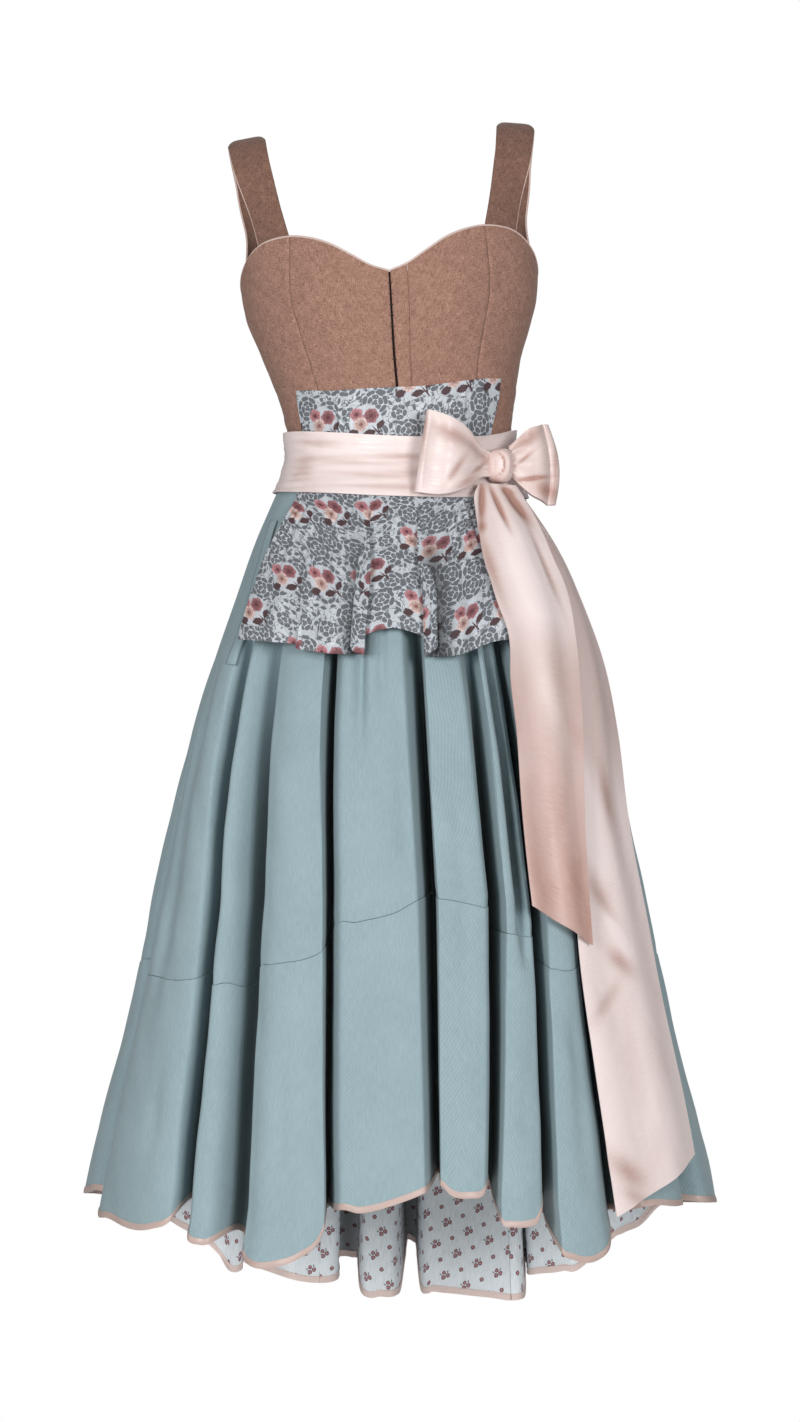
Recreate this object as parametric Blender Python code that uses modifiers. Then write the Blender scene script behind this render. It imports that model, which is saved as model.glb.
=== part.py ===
"""Dirndl dress, worn form: bodice, straps, skirt, hem facing, apron and sash as thin cloth walls.

Metres, +Z up, front towards -Y. The origin is midway between the tops of the shoulder straps.
Angles are degrees round the body, 0 at the front and positive towards +X.
"""

import math

import bpy
import numpy as np

SEAM_GAP = 0.0003
# Walls turn towards each other behind a seam on a bend, so such a seam is opened a little more.
BENT_SEAM_GAP = 0.0006
LAYER_GAP = 0.0005
FACING_GAP = 0.0012
BINDING_GAP = 0.0009
BODICE_WALL = 0.0020
SKIRT_WALL = 0.0015
FACING_WALL = 0.0010
APRON_WALL = 0.0012
SASH_WALL = 0.0015
PIPING_WIDTH = 0.0028
PIPING_LIFT = 0.0008
PIPING_FRONT_END = 66
PIPING_SIDE_END = 118
PIPING_END_GAP = 0.4

WAIST = -0.372
BAND_HEIGHT = 0.275
FACING_HEIGHT = 0.265
BINDING_HEIGHT = 0.007
OPENING_HALF_ANGLE = 0.4
PLACKET_ANGLE = 10.0
PRINCESS_ANGLE = 50.0
SIDE_SEAM_ANGLE = 92.0
BACK_SEAM_ANGLE = 150.0
FULL_TURN = 360.0

LEAN_ANGLE = math.radians(3.3)
LEAN_RISE = 0.12

CUP_RISE = 0.010
CUP_ANGLE = 33.0
CUP_SPREAD = 17.0
CUP_HEIGHT = -0.192
CUP_REACH = 0.050


class Table:
    """Rows with named columns, read at any value of the first column along a smooth curve."""

    def __init__(self, columns, rows, period=None):
        values = np.array(sorted(rows), dtype=float)
        if period:
            before = values - np.eye(1, values.shape[1])[0] * period
            after = values + np.eye(1, values.shape[1])[0] * period
            values = np.vstack([before, values, after])
        self.keys = values[:, 0]
        self.columns = {name: values[:, i] for i, name in enumerate(columns)}

    def at(self, name, key):
        """Cubic Hermite through the rows, with the slope of each row's neighbours."""
        values = self.columns[name]
        slopes = np.gradient(values, self.keys)
        key = np.clip(key, self.keys[0], self.keys[-1])
        row = np.clip(np.searchsorted(self.keys, key) - 1, 0, len(self.keys) - 2)
        span = self.keys[row + 1] - self.keys[row]
        t = (key - self.keys[row]) / span
        rise = values[row + 1] - values[row]
        start, end = slopes[row] * span, slopes[row + 1] * span
        bend = 3 * rise - 2 * start - end
        twist = start + end - 2 * rise
        return values[row] + t * start + t**2 * bend + t**3 * twist


BODY = Table(
    ("height", "half_width", "front", "back", "squareness"),
    [
        (-0.095, 0.162, 0.106, 0.092, 2.25),
        (-0.130, 0.165, 0.109, 0.094, 2.25),
        (-0.170, 0.165, 0.111, 0.097, 2.20),
        (-0.200, 0.161, 0.110, 0.098, 2.20),
        (-0.233, 0.150, 0.106, 0.096, 2.15),
        (-0.266, 0.139, 0.100, 0.092, 2.10),
        (-0.299, 0.131, 0.094, 0.088, 2.05),
        (-0.332, 0.125, 0.090, 0.082, 2.00),
        (-0.372, 0.1235, 0.089, 0.080, 2.00),
        (-0.411, 0.139, 0.107, 0.097, 2.05),
        (-0.455, 0.158, 0.128, 0.122, 2.10),
        (-0.522, 0.182, 0.155, 0.157, 2.20),
        (-0.611, 0.214, 0.185, 0.193, 2.25),
        (-0.700, 0.240, 0.208, 0.220, 2.30),
        (-0.833, 0.272, 0.236, 0.250, 2.30),
        (-0.966, 0.300, 0.258, 0.273, 2.30),
        (-1.100, 0.333, 0.280, 0.295, 2.30),
        (-1.200, 0.352, 0.297, 0.310, 2.30),
        (-1.380, 0.378, 0.320, 0.330, 2.30),
    ],
)

TOP_EDGE = Table(
    ("angle", "height"),
    [
        (0, -0.174),
        (11, -0.166),
        (21, -0.153),
        (31, -0.140),
        (41, -0.1315),
        (50, -0.1276),
        (57, -0.1280),
        (63, -0.1305),
        (69, -0.137),
        (77, -0.150),
        (90, -0.171),
        (101, -0.174),
        (115, -0.166),
        (127, -0.149),
        (137, -0.142),
        (150, -0.150),
        (165, -0.162),
        (180, -0.166),
    ],
)

HEM = Table(
    ("turn", "height"),
    [
        (-155, -1.328),
        (-130, -1.290),
        (-103, -1.225),
        (-85, -1.172),
        (-70, -1.166),
        (-50, -1.178),
        (-36, -1.190),
        (-26, -1.203),
        (-14, -1.163),
        (-3, -1.145),
        (7, -1.127),
        (13, -1.134),
        (22, -1.166),
        (34, -1.200),
        (50, -1.192),
        (66, -1.172),
        (85, -1.182),
        (103, -1.235),
        (130, -1.295),
        (155, -1.330),
        (180, -1.342),
    ],
    period=FULL_TURN,
)

# A valley is a narrow trough between two round ridges. It fans out: its place at the hem names it,
# and the next two columns are its places higher up.
VALLEY_TOP = -0.58
VALLEY_MIDDLE = -0.84
VALLEY_HEM = -1.15
VALLEYS = [
    {"hem": -91, "middle": -88, "top": -90, "width": 5.0, "depth": 0.028, "start": -0.50},
    {"hem": -69, "middle": -64, "top": -72, "width": 4.5, "depth": 0.034, "start": -0.50},
    {"hem": -44, "middle": -47, "top": -60, "width": 3.8, "depth": 0.040, "start": -0.47},
    {"hem": -32, "middle": -35.5, "top": -42, "width": 3.4, "depth": 0.042, "start": -0.45},
    {"hem": -14, "middle": -17.5, "top": -24, "width": 3.4, "depth": 0.055, "start": -0.43},
    {"hem": 8, "middle": 9, "top": 5, "width": 3.4, "depth": 0.060, "start": -0.43},
    {"hem": 18.5, "middle": 22, "top": 20, "width": 3.2, "depth": 0.036, "start": -0.50},
    {"hem": 30, "middle": 35, "top": 33, "width": 3.6, "depth": 0.044, "start": -0.45},
    {"hem": 45, "middle": 47, "top": 46, "width": 4.0, "depth": 0.036, "start": -0.47},
    {"hem": 66, "middle": 64, "top": 65, "width": 4.5, "depth": 0.034, "start": -0.50},
    {"hem": 89, "middle": 88, "top": 88, "width": 5.0, "depth": 0.032, "start": -0.47},
    {"hem": 112, "middle": 113, "top": 114, "width": 4.6, "depth": 0.038, "start": -0.52},
    {"hem": 135, "middle": 136, "top": 137, "width": 4.6, "depth": 0.030, "start": -0.58},
    {"hem": 157, "middle": 158, "top": 159, "width": 4.8, "depth": 0.044, "start": -0.48},
    {"hem": 178, "middle": 178, "top": 178, "width": 4.2, "depth": 0.034, "start": -0.48},
    {"hem": -158, "middle": -159, "top": -159, "width": 4.8, "depth": 0.042, "start": -0.48},
    {"hem": -134, "middle": -135, "top": -136, "width": 4.6, "depth": 0.030, "start": -0.58},
    {"hem": -113, "middle": -113, "top": -114, "width": 4.6, "depth": 0.038, "start": -0.52},
]
VALLEY_LENGTH = 0.60
VALLEY_EASE = 0.7

SKIRT_COLUMN_ANGLE = 2.5
FEWEST_COLUMNS = 8
FINE_TURNS = 241
# Columns stand closer together in a valley: how much, and over how many of its widths.
VALLEY_CROWDING = 1.6
VALLEY_CROWDING_REACH = 1.3
GORE_SEAMS = [-69, -14, 8, 66, 112, 157, 202, 247]

# The skirt and the apron share these rows below the waist, where the hips curve most.
HIP_DROPS = (0, 0.012, 0.030, 0.062, 0.110)
APRON_LAST_DROP = 0.155

APRON_EDGES = Table(
    ("height", "right_side", "left_side"),
    [
        (-0.640, -58, 52),
        (-0.576, -60, 54),
        (-0.480, -63, 58),
        (-0.410, -59, 60),
        (-0.350, -59, 61),
        (-0.290, -57, 58),
    ],
)
APRON_TOP = -0.296
APRON_HEM = -0.576
APRON_FLARE = 0.0048
APRON_WAVE = 0.007
APRON_WAVE_COUNT = 9
# The waves are not evenly wide: they lag by this many radians, over this many radians of the width.
APRON_WAVE_LAG = 1.2
APRON_WAVE_LAG_REACH = 9

SASH_TOP_SIDE = -0.336
SASH_DROP_FRONT = 0.014
SASH_HEIGHT = 0.066
SASH_STANDOFF = 0.0038

STRAP_WIDTH = 0.042
STRAP_LENGTH = 0.26
STRAP_FRONT_ANGLE = 58.5
STRAP_BACK_ANGLE = 132.0
STRAP_END_RADIUS = 0.150
STRAP_TWIST = 0.62
STRAP_TILT = 0.12
STRAP_SEATED = (0.50, 0.86)
STRAP_PATH = Table(
    ("turn", "across", "forward", "up"),
    [
        (-1.00, 0.131, -0.0745, -0.141),
        (-0.72, 0.134, -0.0740, -0.090),
        (-0.40, 0.141, -0.0540, -0.034),
        (-0.15, 0.147, -0.0220, -0.006),
        (0.00, 0.149, 0.0000, -0.0015),
        (0.15, 0.149, 0.0200, -0.006),
        (0.40, 0.146, 0.0450, -0.036),
        (0.72, 0.141, 0.0560, -0.095),
        (1.00, 0.1370, 0.0565, -0.157),
    ],
)

SHORT_TAIL = Table(
    ("height", "start", "stop", "standoff"),
    [
        (-0.4004, 49, 59, 0.0235),
        (-0.430, 44, 64, 0.027),
        (-0.500, 38, 67, 0.030),
        (-0.570, 35.3, 64, 0.031),
        (-0.665, 32.2, 54, 0.027),
        (-0.740, 30.8, 48.5, 0.023),
        (-0.843, 30.5, 45, 0.018),
        (-0.890, 30.5, 44.2, 0.016),
    ],
)
SHORT_TAIL_TOP = -0.4004
SHORT_TAIL_ENDS = (-0.845, -0.888)
LONG_TAIL = Table(
    ("height", "start", "stop", "standoff"),
    [
        (-0.4004, 52, 61, 0.0175),
        (-0.430, 54, 69, 0.015),
        (-0.500, 54, 79, 0.018),
        (-0.570, 52, 77, 0.020),
        (-0.665, 47, 72, 0.014),
        (-0.740, 45, 69.5, 0.009),
        (-0.890, 41.5, 69, 0.006),
        (-1.000, 41.5, 68.5, 0.005),
        (-1.163, 41.8, 66, 0.005),
    ],
)
LONG_TAIL_TOP = -0.4004
LONG_TAIL_ENDS = (-1.163, -1.116)
TAIL_WAVE_COUNT = 2
TAIL_WAVE = 0.004
TAIL_GATHER = 0.06

LEFT_LOOP = Table(
    ("across", "standoff", "puff", "top", "bottom"),
    [
        (0.016, 0.0060, 0.012, -0.328, -0.412),
        (0.035, 0.0050, 0.019, -0.331, -0.413),
        (0.060, 0.0050, 0.022, -0.339, -0.411),
        (0.085, 0.0060, 0.017, -0.351, -0.404),
        (0.0995, 0.0070, 0.010, -0.361, -0.399),
    ],
)
RIGHT_LOOP = Table(
    ("across", "back", "puff", "top", "bottom"),
    [
        (0.1245, -0.072, 0.010, -0.362, -0.399),
        (0.140, -0.062, 0.018, -0.353, -0.404),
        (0.157, -0.053, 0.022, -0.342, -0.412),
        (0.171, -0.046, 0.016, -0.337, -0.421),
    ],
)
LOOP_ROUNDING = 5
LOOP_FRONT_REACH = (0.016, 0.0990)
LOOP_SIDE_REACH = (0.1245, 0.171)
KNOT_CENTRE = (0.112, -0.0830, -0.382)
KNOT_SIZE = (0.024, 0.024, 0.036)
KNOT_ROUNDING = 0.2
KNOT_SEGMENTS = 2

POCKET_TOP = -0.425
POCKET_FOOT = -0.597
POCKET_WIDTH = 0.011
POCKET_WALL = 0.0015
POCKET_ASIDE = 2.5

ROSE_WOOL = {"colour": (0.36, 0.205, 0.155), "roughness": 0.9}
TEAL_WOOL = {"colour": (0.35, 0.46, 0.49), "roughness": 0.9}
PINK_SATIN = {"colour": (0.84, 0.70, 0.67), "roughness": 0.35}
PRINT_COTTON = {"colour": (0.60, 0.66, 0.64), "roughness": 0.8}
APRON_JACQUARD = {"colour": (0.40, 0.41, 0.44), "roughness": 0.55}


def smooth_step(low, high, value):
    """0 at low, 1 at high and a smooth S between."""
    t = np.clip((value - low) / (high - low), 0, 1)
    return t * t * (3 - 2 * t)


def wrapped(angle):
    """The same direction between -180 and 180 degrees."""
    return (np.asarray(angle, dtype=float) + 180) % FULL_TURN - 180


def body_radius(angle, height):
    """Distance from the axis to a rounded oval whose front and back have their own depth."""
    turn = np.radians(angle)
    half_width = BODY.at("half_width", height)
    depth = np.where(np.cos(turn) > 0, BODY.at("front", height), BODY.at("back", height))
    power = BODY.at("squareness", height)
    across = (np.abs(np.sin(turn)) / half_width) ** power
    along = (np.abs(np.cos(turn)) / depth) ** power
    return (across + along) ** (-1 / power)


def cup_rise(angle, height):
    """Two soft mounds that the front darts shape."""
    aside = (np.abs(wrapped(angle)) - CUP_ANGLE) / CUP_SPREAD
    above = (height - CUP_HEIGHT) / CUP_REACH
    return CUP_RISE * np.exp(-(aside**2) - above**2)


def at_radius(angle, height, radius):
    turn = np.radians(angle)
    return np.stack([radius * np.sin(turn), -radius * np.cos(turn), height + 0 * radius], axis=-1)


def leaned(points):
    """The upper body turned a little about the waist, towards -X, fading in above the waist."""
    amount = LEAN_ANGLE * smooth_step(WAIST, WAIST + LEAN_RISE, points[..., 2])
    above = points[..., 2] - WAIST
    across = points[..., 0] - above * np.sin(amount)
    up = WAIST + above * np.cos(amount) + points[..., 0] * np.sin(amount)
    return np.stack([across, points[..., 1], up], axis=-1)


def body(angle, height):
    return leaned(at_radius(angle, height, body_radius(angle, height) + cup_rise(angle, height)))


def valley_angle(turn, height):
    """Where the cloth that hangs at turn on the hem passes at a height, since folds fan out."""
    rows = sorted((v["hem"], v["middle"], v["top"]) for v in VALLEYS)
    hem = np.array([row[0] for row in rows] + [rows[0][0] + FULL_TURN])
    middle = np.array([row[1] for row in rows] + [rows[0][1] + FULL_TURN])
    top = np.array([row[2] for row in rows] + [rows[0][2] + FULL_TURN])
    turned = (turn - hem[0]) % FULL_TURN + hem[0]
    extra = turn - turned
    at_middle = np.interp(turned, hem, middle)
    at_top = np.interp(turned, hem, top)
    low = np.clip((height - VALLEY_HEM) / (VALLEY_MIDDLE - VALLEY_HEM), 0, 1)
    high = np.clip((height - VALLEY_MIDDLE) / (VALLEY_TOP - VALLEY_MIDDLE), 0, 1)
    return turned + (at_middle - turned) * low + (at_top - at_middle) * high + extra


def valley_depth(turn, height):
    depth = np.zeros(np.broadcast(turn, height).shape)
    for valley in VALLEYS:
        aside = wrapped(turn - valley["hem"]) / valley["width"]
        growth = smooth_step(valley["start"], valley["start"] - VALLEY_LENGTH, height) ** VALLEY_EASE
        depth = depth + valley["depth"] * growth * np.exp(-(aside**2))
    return depth


def skirt(turn, drop):
    """The skirt's outer face. drop runs from 0 at the waist to 1 at the hem."""
    height = WAIST + (HEM.at("height", wrapped(turn)) - WAIST) * drop
    angle = valley_angle(turn, height)
    return at_radius(angle, height, body_radius(angle, height) - valley_depth(turn, height))


def normals(points):
    """Unit normals of a grid whose rows go down and whose columns go round, facing out."""
    down = np.gradient(points, axis=0)
    along = np.gradient(points, axis=1)
    normal = np.cross(down, along)
    return normal / np.linalg.norm(normal, axis=-1, keepdims=True)


def moved_out(points, distance):
    return points + normals(points) * distance


def new_material(name, colour, roughness):
    material = bpy.data.materials.new(name)
    material.use_nodes = True
    shader = material.node_tree.nodes["Principled BSDF"]
    shader.inputs["Base Color"].default_value = (*colour, 1)
    shader.inputs["Roughness"].default_value = roughness
    shader.inputs["Metallic"].default_value = 0.0
    return material


def add_object(name, mesh, collection, material):
    mesh.materials.append(material)
    mesh.shade_smooth()
    made = bpy.data.objects.new(name, mesh)
    collection.objects.link(made)
    return made


def grid_mesh(name, points, close_round=False):
    """A mesh of four-sided faces over a grid of points."""
    rows, columns = points.shape[:2]
    number = np.arange(rows * columns).reshape(rows, columns)
    if close_round:
        number = np.hstack([number, number[:, :1]])
    corners = (number[:-1, :-1], number[1:, :-1], number[1:, 1:], number[:-1, 1:])
    faces = np.stack(corners, axis=-1).reshape(-1, 4)
    mesh = bpy.data.meshes.new(name)
    mesh.from_pydata(points.reshape(-1, 3).tolist(), [], faces.tolist())
    return mesh


def wall(name, points, thickness, collection, material, close_round=False):
    """Cloth whose outer face is the grid and whose thickness lies behind it."""
    made = add_object(name, grid_mesh(name, points, close_round), collection, material)
    solidify = made.modifiers.new("Wall", "SOLIDIFY")
    solidify.thickness = thickness
    solidify.offset = -1


def spread(start, stop, count):
    return np.linspace(start, stop, count)


def waist_rows():
    """Heights that the bodice and the apron share, from the apron's top to the waist seam."""
    return spread(APRON_TOP, WAIST + SEAM_GAP / 2, 4)[:, None]


# ---------------------------------------------------------------- bodice


def bodice_panel(name, start, stop, columns, collection, material):
    angle = spread(start, stop, columns)[None, :]
    top = TOP_EDGE.at("height", np.abs(wrapped(angle)))
    upper = top + (APRON_TOP - top) * spread(0, 1, 4)[:-1, None]
    height = np.vstack([upper, waist_rows() + 0 * angle])
    gap = np.degrees(BENT_SEAM_GAP / 2 / BODY.at("half_width", height))
    angle = start + gap + (stop - start - 2 * gap) * (angle - start) / (stop - start)
    return wall(name, body(angle, height), BODICE_WALL, collection, material)


def build_bodice(collection, material):
    opening, placket = OPENING_HALF_ANGLE, PLACKET_ANGLE
    princess, side, back = PRINCESS_ANGLE, SIDE_SEAM_ANGLE, BACK_SEAM_ANGLE
    panels = [
        ("bodice_front_right", -princess, -opening, 11),
        ("bodice_button_stand", opening, placket, 4),
        ("bodice_front_left", placket, princess, 9),
        ("bodice_side_front_right", -side, -princess, 10),
        ("bodice_side_front_left", princess, side, 10),
        ("bodice_side_back_right", -back, -side, 10),
        ("bodice_side_back_left", side, back, 10),
        ("bodice_back", back, FULL_TURN - back, 9),
    ]
    for name, start, stop, columns in panels:
        bodice_panel(name, start, stop, columns, collection, material)


def strap_points(side, start, stop, rows):
    """A band that rises from inside the front, passes over the shoulder and goes down inside the back."""
    ends = np.array([start, stop])
    along = spread(*(np.sign(ends) * np.sqrt(np.abs(ends))), rows)
    along = np.sign(along) * along**2
    middle = np.stack([STRAP_PATH.at(name, along) for name in ("across", "forward", "up")], axis=-1)
    path = np.gradient(middle, axis=0)
    # The band's width lies across the body and follows the oval's turn towards the side.
    twist = -STRAP_TWIST * np.sin(along * math.pi / 2)
    aside = np.stack([0 * along + 1, twist, 0 * along - STRAP_TILT], axis=-1)
    aside -= path * (np.sum(aside * path, axis=-1) / np.sum(path * path, axis=-1))[:, None]
    aside /= np.linalg.norm(aside, axis=-1, keepdims=True)
    across = spread(-0.5, 0.5, 4) * STRAP_WIDTH
    free = middle[:, None, :] + aside[:, None, :] * across[None, :, None]
    # The ends lie against the bodice's inner face.
    inside = BODICE_WALL + FACING_GAP
    turned = np.degrees(across / STRAP_END_RADIUS)[None, :]
    angle = STRAP_FRONT_ANGLE + turned if stop <= 0 else STRAP_BACK_ANGLE - turned
    height = middle[:, 2][:, None] + 0 * angle
    seated = at_radius(angle + 0 * height, height, body_radius(angle, height) - inside)
    share = smooth_step(STRAP_SEATED[0], STRAP_SEATED[1], np.abs(along))[:, None, None]
    points = free + (seated - free) * share
    points[..., 0] *= side
    if side > 0:
        points = points[::-1]
    return leaned(points)


def build_straps(collection, material):
    half_gap = BENT_SEAM_GAP / STRAP_LENGTH
    for side, word in ((-1, "right"), (1, "left")):
        wall(f"strap_front_{word}", strap_points(side, -1, -half_gap, 10), BODICE_WALL, collection, material)
        wall(f"strap_back_{word}", strap_points(side, half_gap, 1, 10), BODICE_WALL, collection, material)


def piping(name, points, collection, material):
    """A square-sectioned cord on a line of points."""
    curve = bpy.data.curves.new(name, "CURVE")
    curve.dimensions = "3D"
    curve.bevel_depth = PIPING_WIDTH / 2
    curve.bevel_resolution = 0
    curve.use_fill_caps = True
    spline = curve.splines.new("POLY")
    spline.points.add(len(points) - 1)
    spline.points.foreach_set("co", np.hstack([points, np.ones((len(points), 1))]).ravel())
    curve.materials.append(material)
    made = bpy.data.objects.new(name, curve)
    collection.objects.link(made)


def edge_line(start, stop, count):
    """The line that piping follows, on top of the bodice's edge."""
    angle = spread(start, stop, count)
    height = TOP_EDGE.at("height", np.abs(wrapped(angle))) + PIPING_LIFT + PIPING_WIDTH / 2
    radius = body_radius(angle, height) + cup_rise(angle, height) - BODICE_WALL / 2
    return leaned(at_radius(angle, height, radius))


def build_piping(collection, material):
    front, side = PIPING_FRONT_END, PIPING_SIDE_END
    after_front, after_side = front + PIPING_END_GAP, side + PIPING_END_GAP
    piping("piping_neck", edge_line(-front, front, 45), collection, material)
    piping("piping_armhole_right", edge_line(-side, -after_front, 21), collection, material)
    piping("piping_armhole_left", edge_line(after_front, side, 21), collection, material)
    piping("piping_back", edge_line(after_side, FULL_TURN - after_side, 33), collection, material)


# ---------------------------------------------------------------- skirt


def gore_turns(start, stop, count):
    """Places round the hem from seam to seam, closer together in the valleys."""
    fine = spread(start, stop, FINE_TURNS)
    density = np.full(fine.shape, 1.0)
    for valley in VALLEYS:
        aside = wrapped(fine - valley["hem"]) / (VALLEY_CROWDING_REACH * valley["width"])
        density += VALLEY_CROWDING * np.exp(-(aside**2))
    total = np.concatenate([[0], np.cumsum((density[1:] + density[:-1]) / 2)])
    return np.interp(spread(0, total[-1], count), total, fine)


def skirt_grid(start, stop, drops):
    """Grid of the skirt's outer face between two seams. drops gives a row of fractions for each length."""
    count = max(FEWEST_COLUMNS, round((stop - start) / SKIRT_COLUMN_ANGLE))
    turn = gore_turns(start, stop, count)[None, :]
    length = WAIST - HEM.at("height", wrapped(turn))
    drop = drops(length)
    height = WAIST - length * drop
    gap = np.degrees(SEAM_GAP / 2 / BODY.at("half_width", height))
    share = (turn - start) / (stop - start)
    return skirt(start + gap + (stop - start - 2 * gap) * share, drop)


def build_skirt(collection, wool, facing_cloth, satin):
    seam = BENT_SEAM_GAP / 2

    def above_hem(*heights):
        """The fractions of the drop that lie at these heights above the hem."""
        return lambda length: 1 - np.array(heights)[:, None] / length

    def gore_rows(length):
        hip = np.array(HIP_DROPS)[:, None] / length
        foot = 1 - (BAND_HEIGHT + seam) / length
        return np.vstack([hip, hip[-1] + (foot - hip[-1]) * spread(0, 1, 4)[1:, None]])

    seams = GORE_SEAMS + [GORE_SEAMS[0] + FULL_TURN]
    band_rows = above_hem(BAND_HEIGHT - seam, BAND_HEIGHT / 2, 0)
    facing_rows = above_hem(FACING_HEIGHT, BAND_HEIGHT / 2, 0)
    binding_rows = above_hem(-BINDING_GAP, -BINDING_GAP - BINDING_HEIGHT)
    behind = SKIRT_WALL + FACING_GAP
    for number, (start, stop) in enumerate(zip(seams[:-1], seams[1:]), start=1):
        wall(f"skirt_gore_{number}", skirt_grid(start, stop, gore_rows), SKIRT_WALL, collection, wool)
        wall(f"skirt_hem_band_{number}", skirt_grid(start, stop, band_rows), SKIRT_WALL, collection, wool)
        inner = moved_out(skirt_grid(start, stop, facing_rows), -behind)
        wall(f"hem_facing_{number}", inner, FACING_WALL, collection, facing_cloth)
        strip = skirt_grid(start, stop, binding_rows)
        wall(f"hem_binding_{number}", strip, behind + FACING_WALL, collection, satin)


def build_pocket(collection, material):
    """A welt beside the apron's edge, along the line where a hand goes in."""
    share = spread(0, 1, 8)[:, None]
    height = POCKET_TOP + (POCKET_FOOT - POCKET_TOP) * share
    inner_edge = APRON_EDGES.at("right_side", height) - POCKET_ASIDE
    outer_edge = inner_edge - np.degrees(POCKET_WIDTH / BODY.at("half_width", height))
    angle = outer_edge + (inner_edge - outer_edge) * spread(0, 1, 3)
    points = at_radius(angle, height + 0 * angle, body_radius(angle, height))
    wall("pocket_welt", moved_out(points, LAYER_GAP + POCKET_WALL), POCKET_WALL, collection, material)


# ---------------------------------------------------------------- apron and sash


def build_apron(collection, material):
    standoff = LAYER_GAP + APRON_WALL

    def angles(height, columns):
        start, stop = APRON_EDGES.at("right_side", height), APRON_EDGES.at("left_side", height)
        return start + (stop - start) * spread(0, 1, columns)[None, :]

    height = waist_rows()
    angle = angles(height, 25)
    radius = body_radius(angle, height) + cup_rise(angle, height) + standoff
    upper = at_radius(angle, height + 0 * angle, radius)
    wall("apron_upper", leaned(upper), APRON_WALL, collection, material)

    columns = 49
    drops = np.array([*HIP_DROPS, APRON_LAST_DROP, WAIST - APRON_HEM])[:, None]
    rows = drops / drops[-1]
    height = WAIST - SEAM_GAP / 2 - drops + np.zeros((1, columns))
    angle = angles(height, columns)
    fullness = smooth_step(0, 1, rows)
    place = spread(0, 1, columns)[None, :]
    lag = APRON_WAVE_LAG * np.sin(place * APRON_WAVE_LAG_REACH)
    wave = APRON_WAVE * (1 + np.sin(place * APRON_WAVE_COUNT * 2 * math.pi + lag)) / 2
    radius = body_radius(angle, height) + standoff + (APRON_FLARE + wave) * fullness
    wall("apron_skirt", at_radius(angle, height, radius), APRON_WALL, collection, material)


def sash_radius(angle, height):
    return body_radius(angle, height) + LAYER_GAP * 2 + APRON_WALL + SASH_STANDOFF


def build_sash(collection, material):
    columns = 54
    angle = spread(0, FULL_TURN, columns + 1)[None, :-1]
    rows = spread(0, 1, 3)[:, None]
    dip = SASH_DROP_FRONT * (1 + np.cos(np.radians(angle))) / 2
    height = SASH_TOP_SIDE - dip - SASH_HEIGHT * rows
    points = at_radius(angle, height, sash_radius(angle, height))
    wall("sash_band", points, SASH_WALL, collection, material, close_round=True)


def loop_points(across, back, puff, top, bottom, far_first):
    """A strip that goes out along the back line, turns at the far end and comes back in front."""
    turn = spread(0, math.pi, LOOP_ROUNDING + 2)[1:-1]
    end = 0 if far_first else -1
    outward = -1 if far_first else 1
    middle = back[end] - puff[end] / 2
    order = slice(None, None, -1) if far_first else slice(None)
    reach = across[end] + outward * puff[end] / 2 * np.sin(turn)
    plan = np.concatenate([across[order], reach, across[order][::-1]])
    turned_depth = middle + puff[end] / 2 * np.cos(turn)
    depth = np.concatenate([back[order], turned_depth, (back - puff)[order][::-1]])
    high = np.concatenate([top[order], np.full(LOOP_ROUNDING, top[end]), top[order][::-1]])
    low = np.concatenate([bottom[order], np.full(LOOP_ROUNDING, bottom[end]), bottom[order][::-1]])
    share = spread(0, 1, 5)[:, None]
    points = np.stack([plan + 0 * share, depth + 0 * share, high + (low - high) * share], axis=-1)
    return points if far_first else points[:, ::-1]


def sash_front(across, height):
    """How far forward the sash's outer face lies at a place across the body."""
    half_width = BODY.at("half_width", height) + LAYER_GAP * 2 + APRON_WALL + SASH_STANDOFF
    depth = BODY.at("front", height) + LAYER_GAP * 2 + APRON_WALL + SASH_STANDOFF
    return -depth * np.sqrt(1 - (across / half_width) ** 2)


def build_bow(collection, material):
    across = spread(*LOOP_FRONT_REACH, 9)
    column = {name: LEFT_LOOP.at(name, across) for name in ("standoff", "puff", "top", "bottom")}
    # The sash bulges most at the loop's lower edge, so the loop clears it there.
    front = np.minimum(sash_front(across, column["top"]), sash_front(across, column["bottom"]))
    back = front - column["standoff"]
    left = loop_points(across, back, column["puff"], column["top"], column["bottom"], True)
    wall("bow_loop_front", left, SASH_WALL, collection, material)

    across = spread(*LOOP_SIDE_REACH, 6)
    column = {name: RIGHT_LOOP.at(name, across) for name in ("back", "puff", "top", "bottom")}
    right = loop_points(across, column["back"], column["puff"], column["top"], column["bottom"], False)
    wall("bow_loop_side", right, SASH_WALL, collection, material)

    bpy.ops.mesh.primitive_cube_add(size=1, location=KNOT_CENTRE)
    knot = bpy.context.active_object
    knot.name = "bow_knot"
    knot.data.name = "bow_knot"
    knot.data.transform(np.diag([*KNOT_SIZE, 1]).tolist())
    knot.data.materials.append(material)
    for owner in list(knot.users_collection):
        owner.objects.unlink(knot)
    collection.objects.link(knot)
    bevel = knot.modifiers.new("Round", "BEVEL")
    bevel.width = min(KNOT_SIZE) * KNOT_ROUNDING
    bevel.segments = KNOT_SEGMENTS


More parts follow.
